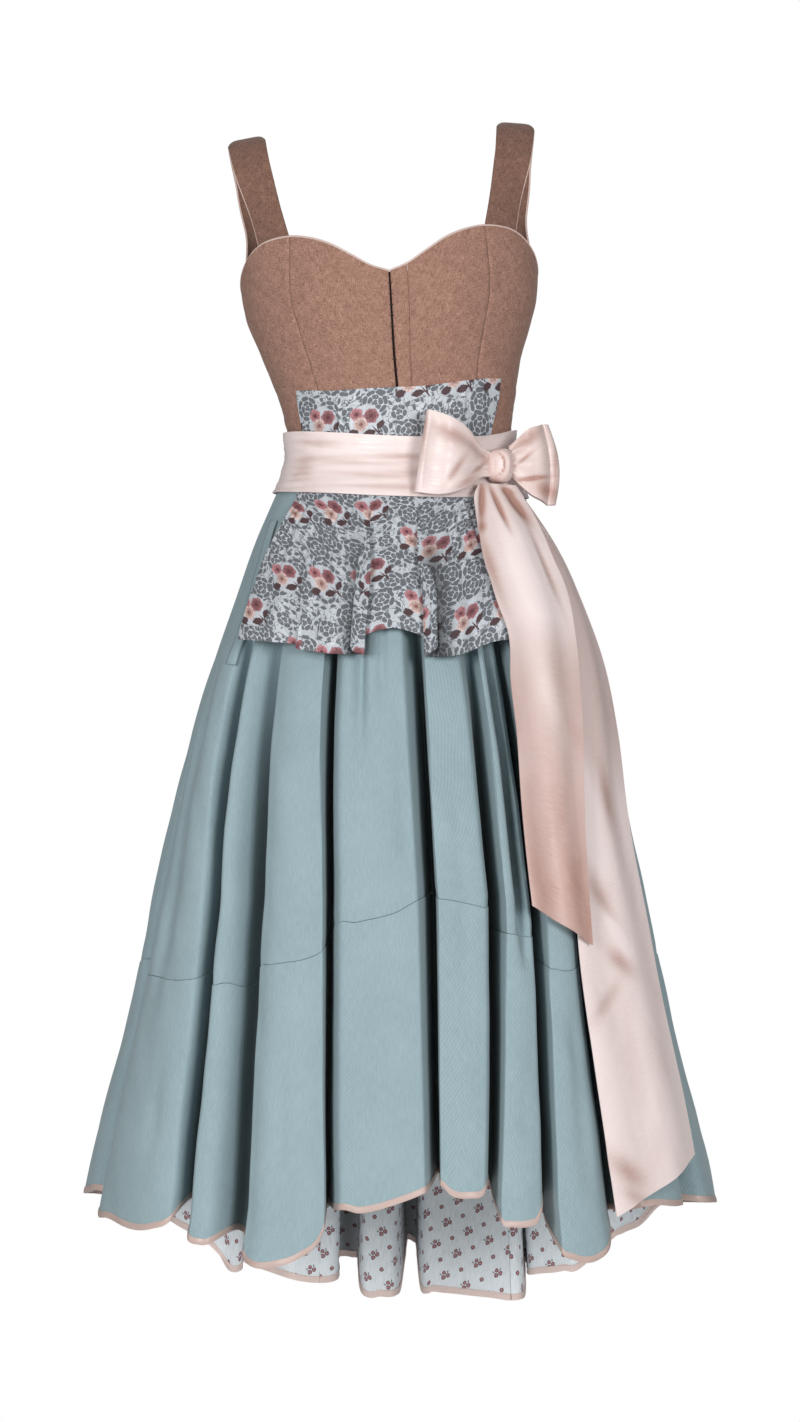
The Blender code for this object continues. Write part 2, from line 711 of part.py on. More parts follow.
def tail_points(table, top, ends, rows, columns, wave_count):
    """A band that hangs over the skirt, gathered at the knot and cut aslant at its end."""
    share = spread(0, 1, columns)[None, :]
    foot = ends[0] + (ends[1] - ends[0]) * share
    height = top + (foot - top) * spread(0, 1, rows)[:, None]
    start, stop = table.at("start", height), table.at("stop", height)
    angle = start + (stop - start) * share
    wave = TAIL_WAVE * (1 + np.cos(2 * math.pi * wave_count * share)) / 2
    gathered = smooth_step(top, top - TAIL_GATHER, height)
    radius = body_radius(angle, height) + table.at("standoff", height) + wave * gathered
    return at_radius(angle, height, radius)


def build_tails(collection, material):
    short = tail_points(SHORT_TAIL, SHORT_TAIL_TOP, SHORT_TAIL_ENDS, 12, 9, TAIL_WAVE_COUNT)
    long = tail_points(LONG_TAIL, LONG_TAIL_TOP, LONG_TAIL_ENDS, 15, 9, TAIL_WAVE_COUNT)
    wall("tail_short", short, SASH_WALL, collection, material)
    wall("tail_long", long, SASH_WALL, collection, material)


def main():
    for stray in list(bpy.data.objects):
        bpy.data.objects.remove(stray)
    collection = bpy.data.collections.new("dirndl_dress")
    bpy.context.scene.collection.children.link(collection)
    rose = new_material("rose_wool", **ROSE_WOOL)
    teal = new_material("teal_wool", **TEAL_WOOL)
    satin = new_material("pink_satin", **PINK_SATIN)
    print_cotton = new_material("print_cotton", **PRINT_COTTON)
    jacquard = new_material("apron_jacquard", **APRON_JACQUARD)
    build_bodice(collection, rose)
    build_straps(collection, rose)
    build_piping(collection, satin)
    build_skirt(collection, teal, print_cotton, satin)
    build_pocket(collection, teal)
    build_apron(collection, jacquard)
    build_sash(collection, satin)
    build_bow(collection, satin)
    build_tails(collection, satin)


main()
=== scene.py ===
"""Looks of a dirndl dress, worn form: bodice, straps, skirt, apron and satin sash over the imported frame.

Metres, +Z up, front towards -Y. The origin is midway between the tops of the shoulder straps.
Angles are degrees round the body, 0 at the front and positive towards +X.
"""

import logging
import math
from collections.abc import Sequence
from dataclasses import dataclass
from enum import Enum

import bpy
import numpy as np
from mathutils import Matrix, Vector


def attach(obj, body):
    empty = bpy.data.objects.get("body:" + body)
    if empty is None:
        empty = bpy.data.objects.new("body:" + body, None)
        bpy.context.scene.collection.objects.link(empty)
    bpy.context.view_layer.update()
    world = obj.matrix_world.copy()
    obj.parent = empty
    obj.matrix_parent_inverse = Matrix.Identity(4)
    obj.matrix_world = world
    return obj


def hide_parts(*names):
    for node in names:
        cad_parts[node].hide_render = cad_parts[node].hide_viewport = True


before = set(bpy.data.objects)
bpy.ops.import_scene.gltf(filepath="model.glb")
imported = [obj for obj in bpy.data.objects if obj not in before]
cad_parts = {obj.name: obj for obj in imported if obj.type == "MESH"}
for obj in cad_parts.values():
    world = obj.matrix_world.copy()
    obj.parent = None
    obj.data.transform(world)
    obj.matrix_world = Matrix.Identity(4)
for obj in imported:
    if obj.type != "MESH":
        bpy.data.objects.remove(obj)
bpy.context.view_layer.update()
log = logging.getLogger("dirndl")

Array = np.ndarray
Colour = tuple[float, float, float]
Marks = Sequence[tuple[float, float, float, float, float, float]]
Material = bpy.types.Material
Node = bpy.types.Node
Object = bpy.types.Object
Socket = bpy.types.NodeSocket

FULL_TURN = 360.0
SEAM_GAP = 0.0003
LAYER_GAP = 0.0005
BODICE_WALL = 0.0020
SKIRT_WALL = 0.0015
FACING_WALL = 0.0008
APRON_WALL = 0.0010
SASH_WALL = 0.0012
WAIST = -0.372
LEAN_ANGLE = math.radians(3.3)
LEAN_RISE = 0.12


# ---------------------------------------------------------------- shared form


class Table:
    """Rows with named columns, read at any value of the first column along a smooth curve."""

    def __init__(self, columns: Sequence[str], rows: Sequence[Sequence[float]], period: float = 0.0) -> None:
        """Sorts the rows by their first column.

        Args:
            columns: the columns' names, the first one the key.
            rows: the numbers.
            period: the key's period, or 0 where it doesn't come round.
        """
        values = np.array(sorted(rows), dtype=float)
        if period:
            shift = np.eye(1, values.shape[1])[0] * period
            values = np.vstack([values - shift, values, values + shift])
        self.keys = values[:, 0]
        self.columns = {name: values[:, i] for i, name in enumerate(columns)}

    def at(self, name: str, key: Array | float) -> Array:
        """Cubic Hermite through the rows, with the slope of each row's neighbours.

        Args:
            name: a column.
            key: where to read it.

        Returns:
            The column's value at each key.
        """
        values = self.columns[name]
        slopes = np.gradient(values, self.keys)
        key = np.clip(key, self.keys[0], self.keys[-1])
        row = np.clip(np.searchsorted(self.keys, key) - 1, 0, len(self.keys) - 2)
        span = self.keys[row + 1] - self.keys[row]
        t = (key - self.keys[row]) / span
        rise = values[row + 1] - values[row]
        start, end = slopes[row] * span, slopes[row + 1] * span
        curve = t * t * (3 * rise - 2 * start - end) + t**3 * (start + end - 2 * rise)
        return values[row] + t * start + curve

    def all_at(self, key: Array) -> dict[str, Array]:
        """Every column at each key."""
        return {name: self.at(name, key) for name in self.columns}


BODY = Table(
    ("height", "half_width", "front", "back", "squareness"),
    [
        (-0.095, 0.162, 0.106, 0.092, 2.25),
        (-0.130, 0.165, 0.109, 0.094, 2.25),
        (-0.170, 0.165, 0.111, 0.097, 2.20),
        (-0.200, 0.161, 0.110, 0.098, 2.20),
        (-0.233, 0.150, 0.106, 0.096, 2.15),
        (-0.266, 0.139, 0.100, 0.092, 2.10),
        (-0.299, 0.131, 0.094, 0.088, 2.05),
        (-0.332, 0.125, 0.090, 0.082, 2.00),
        (-0.372, 0.1235, 0.089, 0.080, 2.00),
        (-0.411, 0.139, 0.107, 0.097, 2.05),
        (-0.455, 0.158, 0.128, 0.122, 2.10),
        (-0.522, 0.182, 0.155, 0.157, 2.20),
        (-0.611, 0.214, 0.185, 0.193, 2.25),
        (-0.700, 0.240, 0.208, 0.220, 2.30),
        (-0.833, 0.272, 0.236, 0.250, 2.30),
        (-0.966, 0.300, 0.258, 0.273, 2.30),
        (-1.100, 0.333, 0.280, 0.295, 2.30),
        (-1.200, 0.352, 0.297, 0.310, 2.30),
        (-1.380, 0.378, 0.320, 0.330, 2.30),
    ],
)


def spread(start: float, stop: float, count: int) -> Array:
    """Evenly spaced numbers."""
    return np.linspace(start, stop, count)


def across_row(count: int, start: float = 0.0, stop: float = 1.0) -> Array:
    """Evenly spaced numbers as one row, for what runs across a grid."""
    return spread(start, stop, count)[None, :]


def down_column(count: int, start: float = 0.0, stop: float = 1.0) -> Array:
    """Evenly spaced numbers as one column, for what runs down a grid."""
    return spread(start, stop, count)[:, None]


def smooth_step(low: float, high: float, value: Array | float) -> Array:
    """0 below low, 1 above high and a smooth S between, for low above high too."""
    t = np.clip((value - low) / (high - low), 0, 1)
    return t * t * (3 - 2 * t)


def wrapped(angle: Array | float) -> Array:
    """The same direction between -180 and 180 degrees."""
    return (np.asarray(angle, dtype=float) + 180) % FULL_TURN - 180


def bell(value: Array, centre: float, left: float, right: float) -> Array:
    """A bump of height 1 at centre: e to the minus (distance / width) ** 2, with a width for each side."""
    aside = value - centre
    return np.exp(-((aside / np.where(aside < 0, left, right)) ** 2))


def unit(vectors: Array) -> Array:
    """Each vector scaled to length 1."""
    return vectors / np.maximum(np.linalg.norm(vectors, axis=-1, keepdims=True), 1e-12)


def body_radius(angle: Array, height: Array) -> Array:
    """Distance from the axis to a rounded oval whose front and back have their own depth.

    Args:
        angle: degrees round the body.
        height: metres.

    Returns:
        ((|sin| / half width) ** p + (|cos| / depth) ** p) ** (-1 / p), with p the squareness there.
    """
    turn = np.radians(angle)
    depth = np.where(np.cos(turn) > 0, BODY.at("front", height), BODY.at("back", height))
    power = BODY.at("squareness", height)
    across = (np.abs(np.sin(turn)) / BODY.at("half_width", height)) ** power
    along = (np.abs(np.cos(turn)) / depth) ** power
    return (across + along) ** (-1 / power)


def bust_radius(angle: Array, height: Array) -> Array:
    """The oval with two soft mounds that the front seams shape: bells of 10 mm, 33 degrees to each side."""
    aside = (np.abs(wrapped(angle)) - 33.0) / 17.0
    above = (height + 0.192) / 0.050
    return body_radius(angle, height) + 0.010 * np.exp(-(aside**2) - above**2)


def at_radius(angle: Array, height: Array, radius: Array) -> Array:
    """Points at these angles, heights and distances from the axis."""
    turn = np.radians(angle)
    parts = np.broadcast_arrays(radius * np.sin(turn), -radius * np.cos(turn), height)
    return np.stack(parts, axis=-1)


def leaned(points: Array) -> Array:
    """The upper body turned 3.3 degrees about the waist, towards -X, fading in above the waist."""
    amount = LEAN_ANGLE * smooth_step(WAIST, WAIST + LEAN_RISE, points[..., 2])
    above = points[..., 2] - WAIST
    across = points[..., 0] - above * np.sin(amount)
    up = WAIST + above * np.cos(amount) + points[..., 0] * np.sin(amount)
    return np.stack([across, points[..., 1], up], axis=-1)


def normals(points: Array) -> Array:
    """Unit normals of a grid whose rows go down and whose columns go round: down crossed with along."""
    return unit(np.cross(np.gradient(points, axis=0), np.gradient(points, axis=1)))


def moved_out(points: Array, distance: Array | float) -> Array:
    """Each point moved along its normal by a distance."""
    return points + normals(points) * np.asarray(distance)[..., None]


def painted_fold_shade(points: Array) -> Array:
    """Painted shade in a fold: by how far the points lie inside the body's oval, fading out towards the
    waist.
    """
    angle = np.degrees(np.arctan2(points[..., 0], -points[..., 1]))
    inside = body_radius(angle, points[..., 2]) - np.hypot(points[..., 0], points[..., 1])
    return 0.62 * smooth_step(0.026, 0.066, inside) * smooth_step(-0.47, -0.58, points[..., 2])


def ruffle(value: Array, seed: float) -> Array:
    """A wandering curve between about -1 and 1: four sines of unrelated lengths, laid by seed."""
    sines = [(1.0, 1.3, 1.0), (0.6, 4.1, 2.3), (0.4, 2.2, 3.7), (0.25, 5.3, 6.1)]
    return sum(size * np.sin(value * rate + seed * turn) for size, turn, rate in sines) / 1.6


# ---------------------------------------------------------------- meshes


def flat_map(points: Array) -> Array:
    """Lays a grid out flat: u is the length along each row from its middle, v the mean length down.

    Args:
        points: rows by columns by 3.

    Returns:
        rows by columns by 2, in metres.
    """
    along = np.linalg.norm(np.diff(points, axis=1), axis=-1)
    u = np.concatenate([np.zeros((len(points), 1)), np.cumsum(along, axis=1)], axis=1)
    u -= u[:, [round((points.shape[1] - 1) / 2)]]
    down = np.linalg.norm(np.diff(points, axis=0), axis=-1).mean(axis=1)
    v = -np.concatenate([[0], np.cumsum(down)])
    return np.stack([u, np.broadcast_to(v[:, None], u.shape)], axis=-1)


def marks(across: Array, up: Array, spots: Marks) -> Array:
    """A sum of drawn-out bumps: amount times e to the minus (along / length) ** 2 + (aside / width) ** 2.

    Args:
        across: one coordinate of each place.
        up: the other coordinate.
        spots: across, up, length, width, turn in degrees and amount of each bump.

    Returns:
        The sum at each place.
    """
    total = 0 * across + 0 * up
    for x, y, length, width, turn, amount in spots:
        c, s = math.cos(math.radians(turn)), math.sin(math.radians(turn))
        along = ((across - x) * c + (up - y) * s) / length
        aside = ((up - y) * c - (across - x) * s) / width
        total = total + amount * np.exp(-(along**2) - aside**2)
    return total


def placed(name: str, data: bpy.types.ID) -> Object:
    """A new object with this data, linked to the scene."""
    made = bpy.data.objects.new(name, data)
    bpy.context.scene.collection.objects.link(made)
    return made


def new_piece(
    name: str,
    points: Array,
    faces: Sequence[Array],
    uv: Array,
    sharp: float = 50.0,
    tone: Array | None = None,
) -> Object:
    """An object at the origin from arrays of points and faces.

    Args:
        name: the piece's name.
        points: points by 3.
        faces: arrays of faces by corners.
        uv: points by 2.
        sharp: degrees past which an edge is shaded sharp.
        tone: painted shade for each point (below 0, painted highlight), kept as the attribute "tone".

    Returns:
        The new object, linked to the scene.
    """
    mesh = bpy.data.meshes.new(name)
    mesh.from_pydata(points.tolist(), [], [face for part in faces for face in part.tolist()])
    corners = np.empty(len(mesh.loops), dtype=np.int32)
    mesh.loops.foreach_get("vertex_index", corners)
    mesh.uv_layers.new(name="UVMap").data.foreach_set("uv", uv[corners].astype(np.float32).ravel())
    if tone is not None:
        mesh.attributes.new("tone", "FLOAT", "POINT").data.foreach_set("value", tone.astype(np.float32))
    mesh.shade_smooth()
    mesh.set_sharp_from_angle(angle=math.radians(sharp))
    return placed(name, mesh)


def cloth(
    name: str,
    points: Array,
    thickness: float,
    uv: Array | None = None,
    ring: bool = False,
    shade: Array | None = None,
) -> Object:
    """A closed sheet of cloth: the grid, the same grid moved in by the thickness, and the rims between.

    Args:
        name: the piece's name.
        points: rows by columns by 3, the outer face, rows going down and columns round.
        thickness: metres.
        uv: flat coordinates in metres, worked out from the points where it is left out.
        ring: whether the last column joins the first, which then has the same points.
        shade: painted shade at each point (below 0, painted highlight), kept as the attribute "tone".

    Returns:
        The new object.
    """
    uv = flat_map(points) if uv is None else uv
    facing = normals(points)
    rows, columns = points.shape[:2]
    o = np.arange(rows * columns).reshape(rows, columns)
    if ring:
        facing[:, 0] = facing[:, -1] = unit(facing[:, 0] + facing[:, -1])
        o[:, -1] = o[:, 0]
    i = o + rows * columns
    corners = [
        (o[:-1, :-1], o[1:, :-1], o[1:, 1:], o[:-1, 1:]),
        (i[:-1, :-1], i[:-1, 1:], i[1:, 1:], i[1:, :-1]),
        (o[0, :-1], o[0, 1:], i[0, 1:], i[0, :-1]),
        (o[-1, 1:], o[-1, :-1], i[-1, :-1], i[-1, 1:]),
    ]
    if not ring:
        corners.append((o[1:, 0], o[:-1, 0], i[:-1, 0], i[1:, 0]))
        corners.append((o[:-1, -1], o[1:, -1], i[1:, -1], i[:-1, -1]))
    faces = np.concatenate([np.stack(four, axis=-1).reshape(-1, 4) for four in corners])
    both = np.concatenate([points.reshape(-1, 3), (points - facing * thickness).reshape(-1, 3)])
    flat = np.tile(uv.reshape(-1, 2), (2, 1))
    used, faces = np.unique(faces, return_inverse=True)
    tone = None if shade is None else np.tile(np.broadcast_to(shade, (rows, columns)).reshape(-1), 2)[used]
    return new_piece(name, both[used], [faces.reshape(-1, 4)], flat[used], tone=tone)


def tube(name: str, path: Array, radius: float, sides: int = 10) -> Object:
    """A round cord: a circle carried along a path, closed by its own flat ends.

    The circle's first axis is the path's direction crossed with the way to the body's axis. It doesn't twist.

    Args:
        name: the piece's name.
        path: points by 3.
        radius: metres.
        sides: faces round the cord.

    Returns:
        The new object.
    """
    ahead = unit(np.gradient(path, axis=0))
    first = unit(np.cross(ahead, unit(path * (1, 1, 0))))
    second = np.cross(ahead, first)
    turn = spread(0, 2 * math.pi, sides + 1)[:-1]
    circle = first[:, None] * np.cos(turn)[:, None] + second[:, None] * np.sin(turn)[:, None]
    points = path[:, None] + circle * radius
    length = np.concatenate([[0], np.cumsum(np.linalg.norm(np.diff(path, axis=0), axis=-1))])
    uv = np.stack(np.broadcast_arrays(turn * radius, length[:, None]), axis=-1)
    middle = len(path) * sides
    n = np.arange(middle).reshape(len(path), sides)
    n = np.hstack([n, n[:, :1]])
    wall = np.stack([n[:-1, :-1], n[:-1, 1:], n[1:, 1:], n[1:, :-1]], axis=-1).reshape(-1, 4)
    low = np.stack([n[0, 1:], n[0, :-1], np.full(sides, middle)], axis=-1)
    high = np.stack([n[-1, :-1], n[-1, 1:], np.full(sides, middle + 1)], axis=-1)
    points = np.concatenate([points.reshape(-1, 3), path[:1], path[-1:]])
    uv = np.concatenate([uv.reshape(-1, 2), [[0, 0], [0, length[-1]]]])
    return new_piece(name, points, [wall, low, high], uv, sharp=60.0)


# ---------------------------------------------------------------- finishes


class Slot(Enum):
    """The record's material slots."""

    ROSE_WOOL = "rose_wool"
    TEAL_WOOL = "teal_wool"
    PINK_SATIN = "pink_satin"
    PRINT_COTTON = "print_cotton"
    JACQUARD = "apron_jacquard"


class Value:
    """A number, vector or colour that a shader works out. Arithmetic on it adds Math nodes."""

    def __init__(self, pattern: "Pattern", socket: Socket) -> None:
        """Keeps the pattern that new nodes go to, and the output that holds the value."""
        self.pattern = pattern
        self.socket = socket

    def __add__(self, other: "Term") -> "Value":
        """This plus another."""
        return self.pattern.math("ADD", self, other)

    def __sub__(self, other: "Term") -> "Value":
        """This less another."""
        return self.pattern.math("SUBTRACT", self, other)

    def __rsub__(self, other: float) -> "Value":
        """A number less this."""
        return self.pattern.math("SUBTRACT", other, self)

    def __mul__(self, other: "Term") -> "Value":
        """This times another."""
        return self.pattern.math("MULTIPLY", self, other)

    def __truediv__(self, other: "Term") -> "Value":
        """This over another."""
        return self.pattern.math("DIVIDE", self, other)

    def __pow__(self, other: float) -> "Value":
        """This to a power."""
        return self.pattern.math("POWER", self, other)

    def __abs__(self) -> "Value":
        """This without its sign."""
        return self.pattern.math("ABSOLUTE", self)


Term = Value | float


class Pattern:
    """A material whose nodes are added by formula: each method adds one node and hands back its output."""

    def __init__(self, name: str, roughness: float, sheen: float = 0.0, specular: float = 0.5) -> None:
        """A new material with constant values set on its shader's sockets.

        Args:
            name: the material's name.
            roughness: from 0 to 1.
            sheen: the weight of the cloth's soft edge light.
            specular: the specular level.
        """
        self.material = bpy.data.materials.new(name)
        self.material.use_nodes = True
        self.tree = self.material.node_tree
        self.shader = self.tree.nodes["Principled BSDF"]
        looks = {"Roughness": roughness, "Sheen Weight": sheen, "Specular IOR Level": specular}
        self.feed(self.shader, looks)

    def add(self, kind: str, inputs: dict[int | str, object], **settings: object) -> Node:
        """A new node of a kind, with its settings and inputs."""
        node = self.tree.nodes.new(kind)
        for key, value in settings.items():
            setattr(node, key, value)
        self.feed(node, inputs)
        return node

    def feed(self, node: Node, inputs: dict[int | str, object]) -> None:
        """Links values to a node's inputs, or sets inputs to numbers and colours."""
        for key, source in inputs.items():
            target = node.inputs[key]
            if isinstance(source, Value):
                self.tree.links.new(source.socket, target)
            elif isinstance(source, (int, float)):
                target.default_value = source
            else:
                target.default_value = tuple(source) + (1.0,) * (len(target.default_value) - len(source))

    def out(self, node: Node, output: int | str = 0) -> Value:
        """What a node gives at one of its outputs."""
        return Value(self, node.outputs[output])

    def math(self, operation: str, *terms: Term) -> Value:
        """One operation on one or two terms."""
        return self.out(self.add("ShaderNodeMath", dict(enumerate(terms)), operation=operation))

    def place(self, scale: Sequence[float] = (1, 1, 1), turn: float = 0.0, kind: str = "UV") -> Value:
        """Coordinates in metres, turned by degrees and then scaled."""
        source = self.out(self.add("ShaderNodeTexCoord", {}), kind)
        inputs = {"Vector": source, "Rotation": (0, 0, math.radians(turn)), "Scale": tuple(scale)}
        return self.out(self.add("ShaderNodeMapping", inputs))

    def split(self, vector: Value) -> tuple[Value, Value]:
        """A vector's x and y."""
        node = self.add("ShaderNodeSeparateXYZ", {0: vector})
        return self.out(node, 0), self.out(node, 1)

    def noise(
        self, place: Value, scale: float, detail: float = 2.0, rough: float = 0.5, wander: float = 0.0
    ) -> Value:
        """Noise from 0 to 1."""
        inputs = {"Vector": place, "Scale": scale, "Detail": detail, "Roughness": rough, "Distortion": wander}
        return self.out(self.add("ShaderNodeTexNoise", inputs))

    def ramp(self, value: Term, low: float, high: float, start: float = 0.0, stop: float = 1.0) -> Value:
        """Start below low, stop above high, and a smooth S between."""
        inputs = dict(enumerate((value, low, high, start, stop)))
        return self.out(self.add("ShaderNodeMapRange", inputs, interpolation_type="SMOOTHSTEP"))

    def mix(self, share: Term, a: Value | Colour, b: Value | Colour) -> Value:
        """Colour a where share is 0 and b where it is 1."""
        return self.out(self.add("ShaderNodeMix", {0: share, 6: a, 7: b}, data_type="RGBA"), 2)

    def bump(self, height: Value, distance: float, strength: float = 1.0) -> Value:
        """The normal over a height in units of distance."""
        inputs = {"Strength": strength, "Distance": distance, "Height": height}
        return self.out(self.add("ShaderNodeBump", inputs))

    def tone(self) -> Value:
        """The piece's tone attribute: its painted shade, and painted highlight where it is below 0."""
        return self.out(self.add("ShaderNodeAttribute", {}, attribute_name="tone"), "Fac")

    def shaded(self, colour: Value) -> Value:
        """The colour with painted shade: darker where the tone is high, as inside a deep fold."""
        return self.mix(self.tone() * 0.8, colour, (0.02, 0.019, 0.02))

    def both(self, *shares: Value) -> Value:
        """The greatest of several shares."""
        total = shares[0]
        for share in shares[1:]:
            total = self.math("MAXIMUM", total, share)
        return total

    def finish(self, colour: Value, normal: Value | None = None, roughness: Value | None = None) -> Material:
        """Links what varies to the shader and returns the material."""
        varied = {"Base Color": colour, "Normal": normal, "Roughness": roughness}
        self.feed(self.shader, {key: value for key, value in varied.items() if value is not None})
        return self.material


@dataclass(frozen=True)
class MelangeWool:
    """Wool whose threads are two tones, as flecks along and across the weave.

    Attributes:
        light: the pale threads' colour.
        dark: the deep threads' colour.
        grain: threads to a metre.
    """

    name: str = "rose_melange"
    light: Colour = (0.52, 0.305, 0.232)
    dark: Colour = (0.165, 0.080, 0.056)
    grain: float = 1350.0

    def material(self) -> Material:
        """Flecks are two noises drawn out along the warp and the weft; mottling is a slow noise over them."""
        p = Pattern(self.name, 0.92, sheen=0.12, specular=0.2)
        warp = p.noise(p.place((self.grain, self.grain * 0.12, 1)), 1.0, 3.0, 0.7)
        weft = p.noise(p.place((self.grain * 0.12, self.grain, 1)), 1.0, 3.0, 0.7)
        fleck = warp * 0.5 + weft * 0.5
        mottling = p.noise(p.place(), 90.0, 3.0)
        colour = p.mix(p.ramp(fleck + mottling * 0.14, 0.38, 0.80), self.dark, self.light)
        return p.finish(colour, p.bump(fleck, 0.0006, 0.55))


@dataclass(frozen=True)
class TwillWool:
    """Fulled wool twill: fine diagonal ribs under a soft nap.

    Attributes:
        light: the nap's colour in the light.
        dark: the colour between ribs.
        ribs: ribs to a metre.
        slant: the way of the ribs, in degrees.
    """

    name: str = "teal_twill"
    light: Colour = (0.345, 0.450, 0.482)
    dark: Colour = (0.230, 0.318, 0.345)
    ribs: float = 700.0
    slant: float = 38.0

    def material(self) -> Material:
        """Ribs are a wave across the diagonal, broken by a drawn-out noise; the nap is a fine noise."""
        p = Pattern(self.name, 0.95, sheen=0.18, specular=0.15)
        scale = self.ribs * math.pi / 20
        inputs = {"Vector": p.place((1, 1, 1), self.slant), "Scale": scale, "Distortion": 1.5, "Detail": 1.0}
        rib = p.out(p.add("ShaderNodeTexWave", inputs, wave_type="BANDS", bands_direction="X"), "Fac")
        nap = p.noise(p.place(), 1500.0, 2.0, 0.6)
        thread = p.noise(p.place((500, 90, 1)), 1.0, 2.0, 0.6)
        cloud = p.noise(p.place(), 14.0, 3.0)
        parts = rib * 0.14 + nap * 0.50 + thread * 0.40 + cloud * 0.25
        colour = p.mix(p.ramp(parts, 0.35, 1.0), self.dark, self.light)
        # The tone attribute adds painted shade in the deep folds and along the welt's edge.
        return p.finish(p.shaded(colour), p.bump(rib + nap, 0.0003, 0.45))


@dataclass(frozen=True)
class Satin:
    """Silky cloth with slubs: faint streaks along the weft and patches of a deeper tone, with painted shade
    and painted highlight on each piece.

    Attributes:
        light: the colour where it shines.
        deep: the colour of the streaks and patches, and of the painted shade.
        depth: how much of the deeper tone shows, from 0 to 1.
    """

    name: str = "pink_satin"
    light: Colour = (0.88, 0.76, 0.74)
    deep: Colour = (0.43, 0.245, 0.20)
    depth: float = 0.22

    def material(self) -> Material:
        """Streaks are a noise drawn out along u, patches a slow noise; the tone attribute, painted shade and
        painted highlight, is added to both.
        """
        p = Pattern(self.name, 0.38, sheen=0.03, specular=0.32)
        streak = p.noise(p.place((60, 900, 1)), 1.0, 3.0, 0.6)
        patch = p.noise(p.place((22, 9, 1)), 1.0, 2.0, 0.5, 0.4)
        share = p.ramp(streak * 0.45 + patch * 0.75, 0.48, 0.85)
        # The tone attribute adds painted shade, and painted highlight where it is below 0.
        share = share * self.depth + p.tone() * 1.6
        share = p.math("MINIMUM", p.math("MAXIMUM", share, 0.0), 1.0)
        colour = p.mix(share, self.light, self.deep)
        return p.finish(colour, p.bump(streak, 0.0003, 0.5), p.ramp(streak, 0.3, 0.8, 0.30, 0.48))


@dataclass(frozen=True)
class Flower:
    """One woven or printed flower head.

    Attributes:
        x, y: its middle, in metres from the middle of its cell.
        size: its radius, in metres.
        petals: how many.
        turn: where the first petal lies, in radians.
    """

    x: float
    y: float
    size: float
    petals: int = 5
    turn: float = 0.0


class Figure(Pattern):
    """A pattern of flowers and leaves: it adds ways to find cells, flower heads and leaves."""

    def cell(
        self, u: Value, v: Value, size: tuple[float, float], shift: float = 0.0, group: float = 1.0
    ) -> tuple[Value, Value]:
        """Where a point lies in its cell of a repeat.

        Args:
            u: metres across.
            v: metres up.
            size: the cell's width and height.
            shift: how far every other group of columns is moved up.
            group: how many columns move together.

        Returns:
            x and y from the cell's middle, in metres.
        """
        column = self.math("FLOOR", u / size[0])
        odd = self.math("MODULO", abs(self.math("FLOOR", column / group)), 2.0)
        moved = odd * shift + v
        row = self.math("FLOOR", moved / size[1])
        return u - (column + 0.5) * size[0], moved - (row + 0.5) * size[1]

    def polar(self, x: Value, y: Value) -> tuple[Value, Value]:
        """The distance and direction of a point."""
        return self.math("SQRT", x * x + y * y), self.math("ARCTAN2", y, x)

    def head(self, x: Value, y: Value, flower: Flower) -> tuple[Value, Value, Value]:
        """A flower head: its cover, the lines between its petals, and its distance from the middle.

        The rim's radius is 0.87 plus 0.13 times |cos(petals * direction / 2)| of the size. Lines follow an
        inner rim, turned half a petal, the gaps between petals and rays from the middle.
        """
        far, way = self.polar(x - flower.x, y - flower.y)
        far = far / flower.size
        lobes = way * (flower.petals / 2) + flower.turn
        petal = abs(self.math("COSINE", lobes))
        rim = petal * 0.13 + 0.87
        share = far / rim
        inner = abs(far - (abs(self.math("SINE", lobes)) * 0.14 + 0.44))
        rays = self.math("SINE", way * (flower.petals * 3))
        lines = self.both(
            self.ramp(petal, 0.28, 0.0),
            self.ramp(inner, 0.08, 0.02) * 0.6,
            self.ramp(rays, 0.55, 1.0) * self.ramp(share, 0.85, 0.45),
        )
        return self.ramp(rim - far, 0.0, 0.07), lines, share

    def leaf(
        self, x: Value, y: Value, middle: tuple[float, float], size: tuple[float, float], turn: float
    ) -> Value:
        """A pointed oval: 1 where |across| is under width times 1 minus the square of along over length."""
        c, s = math.cos(math.radians(turn)), math.sin(math.radians(turn))
        dx, dy = x - middle[0], y - middle[1]
        along = dx * (c / size[0]) + dy * (s / size[0])
        across = dx * (-s / size[1]) + dy * (c / size[1])
        return self.ramp(1.0 - along * along - abs(across), 0.0, 0.15)


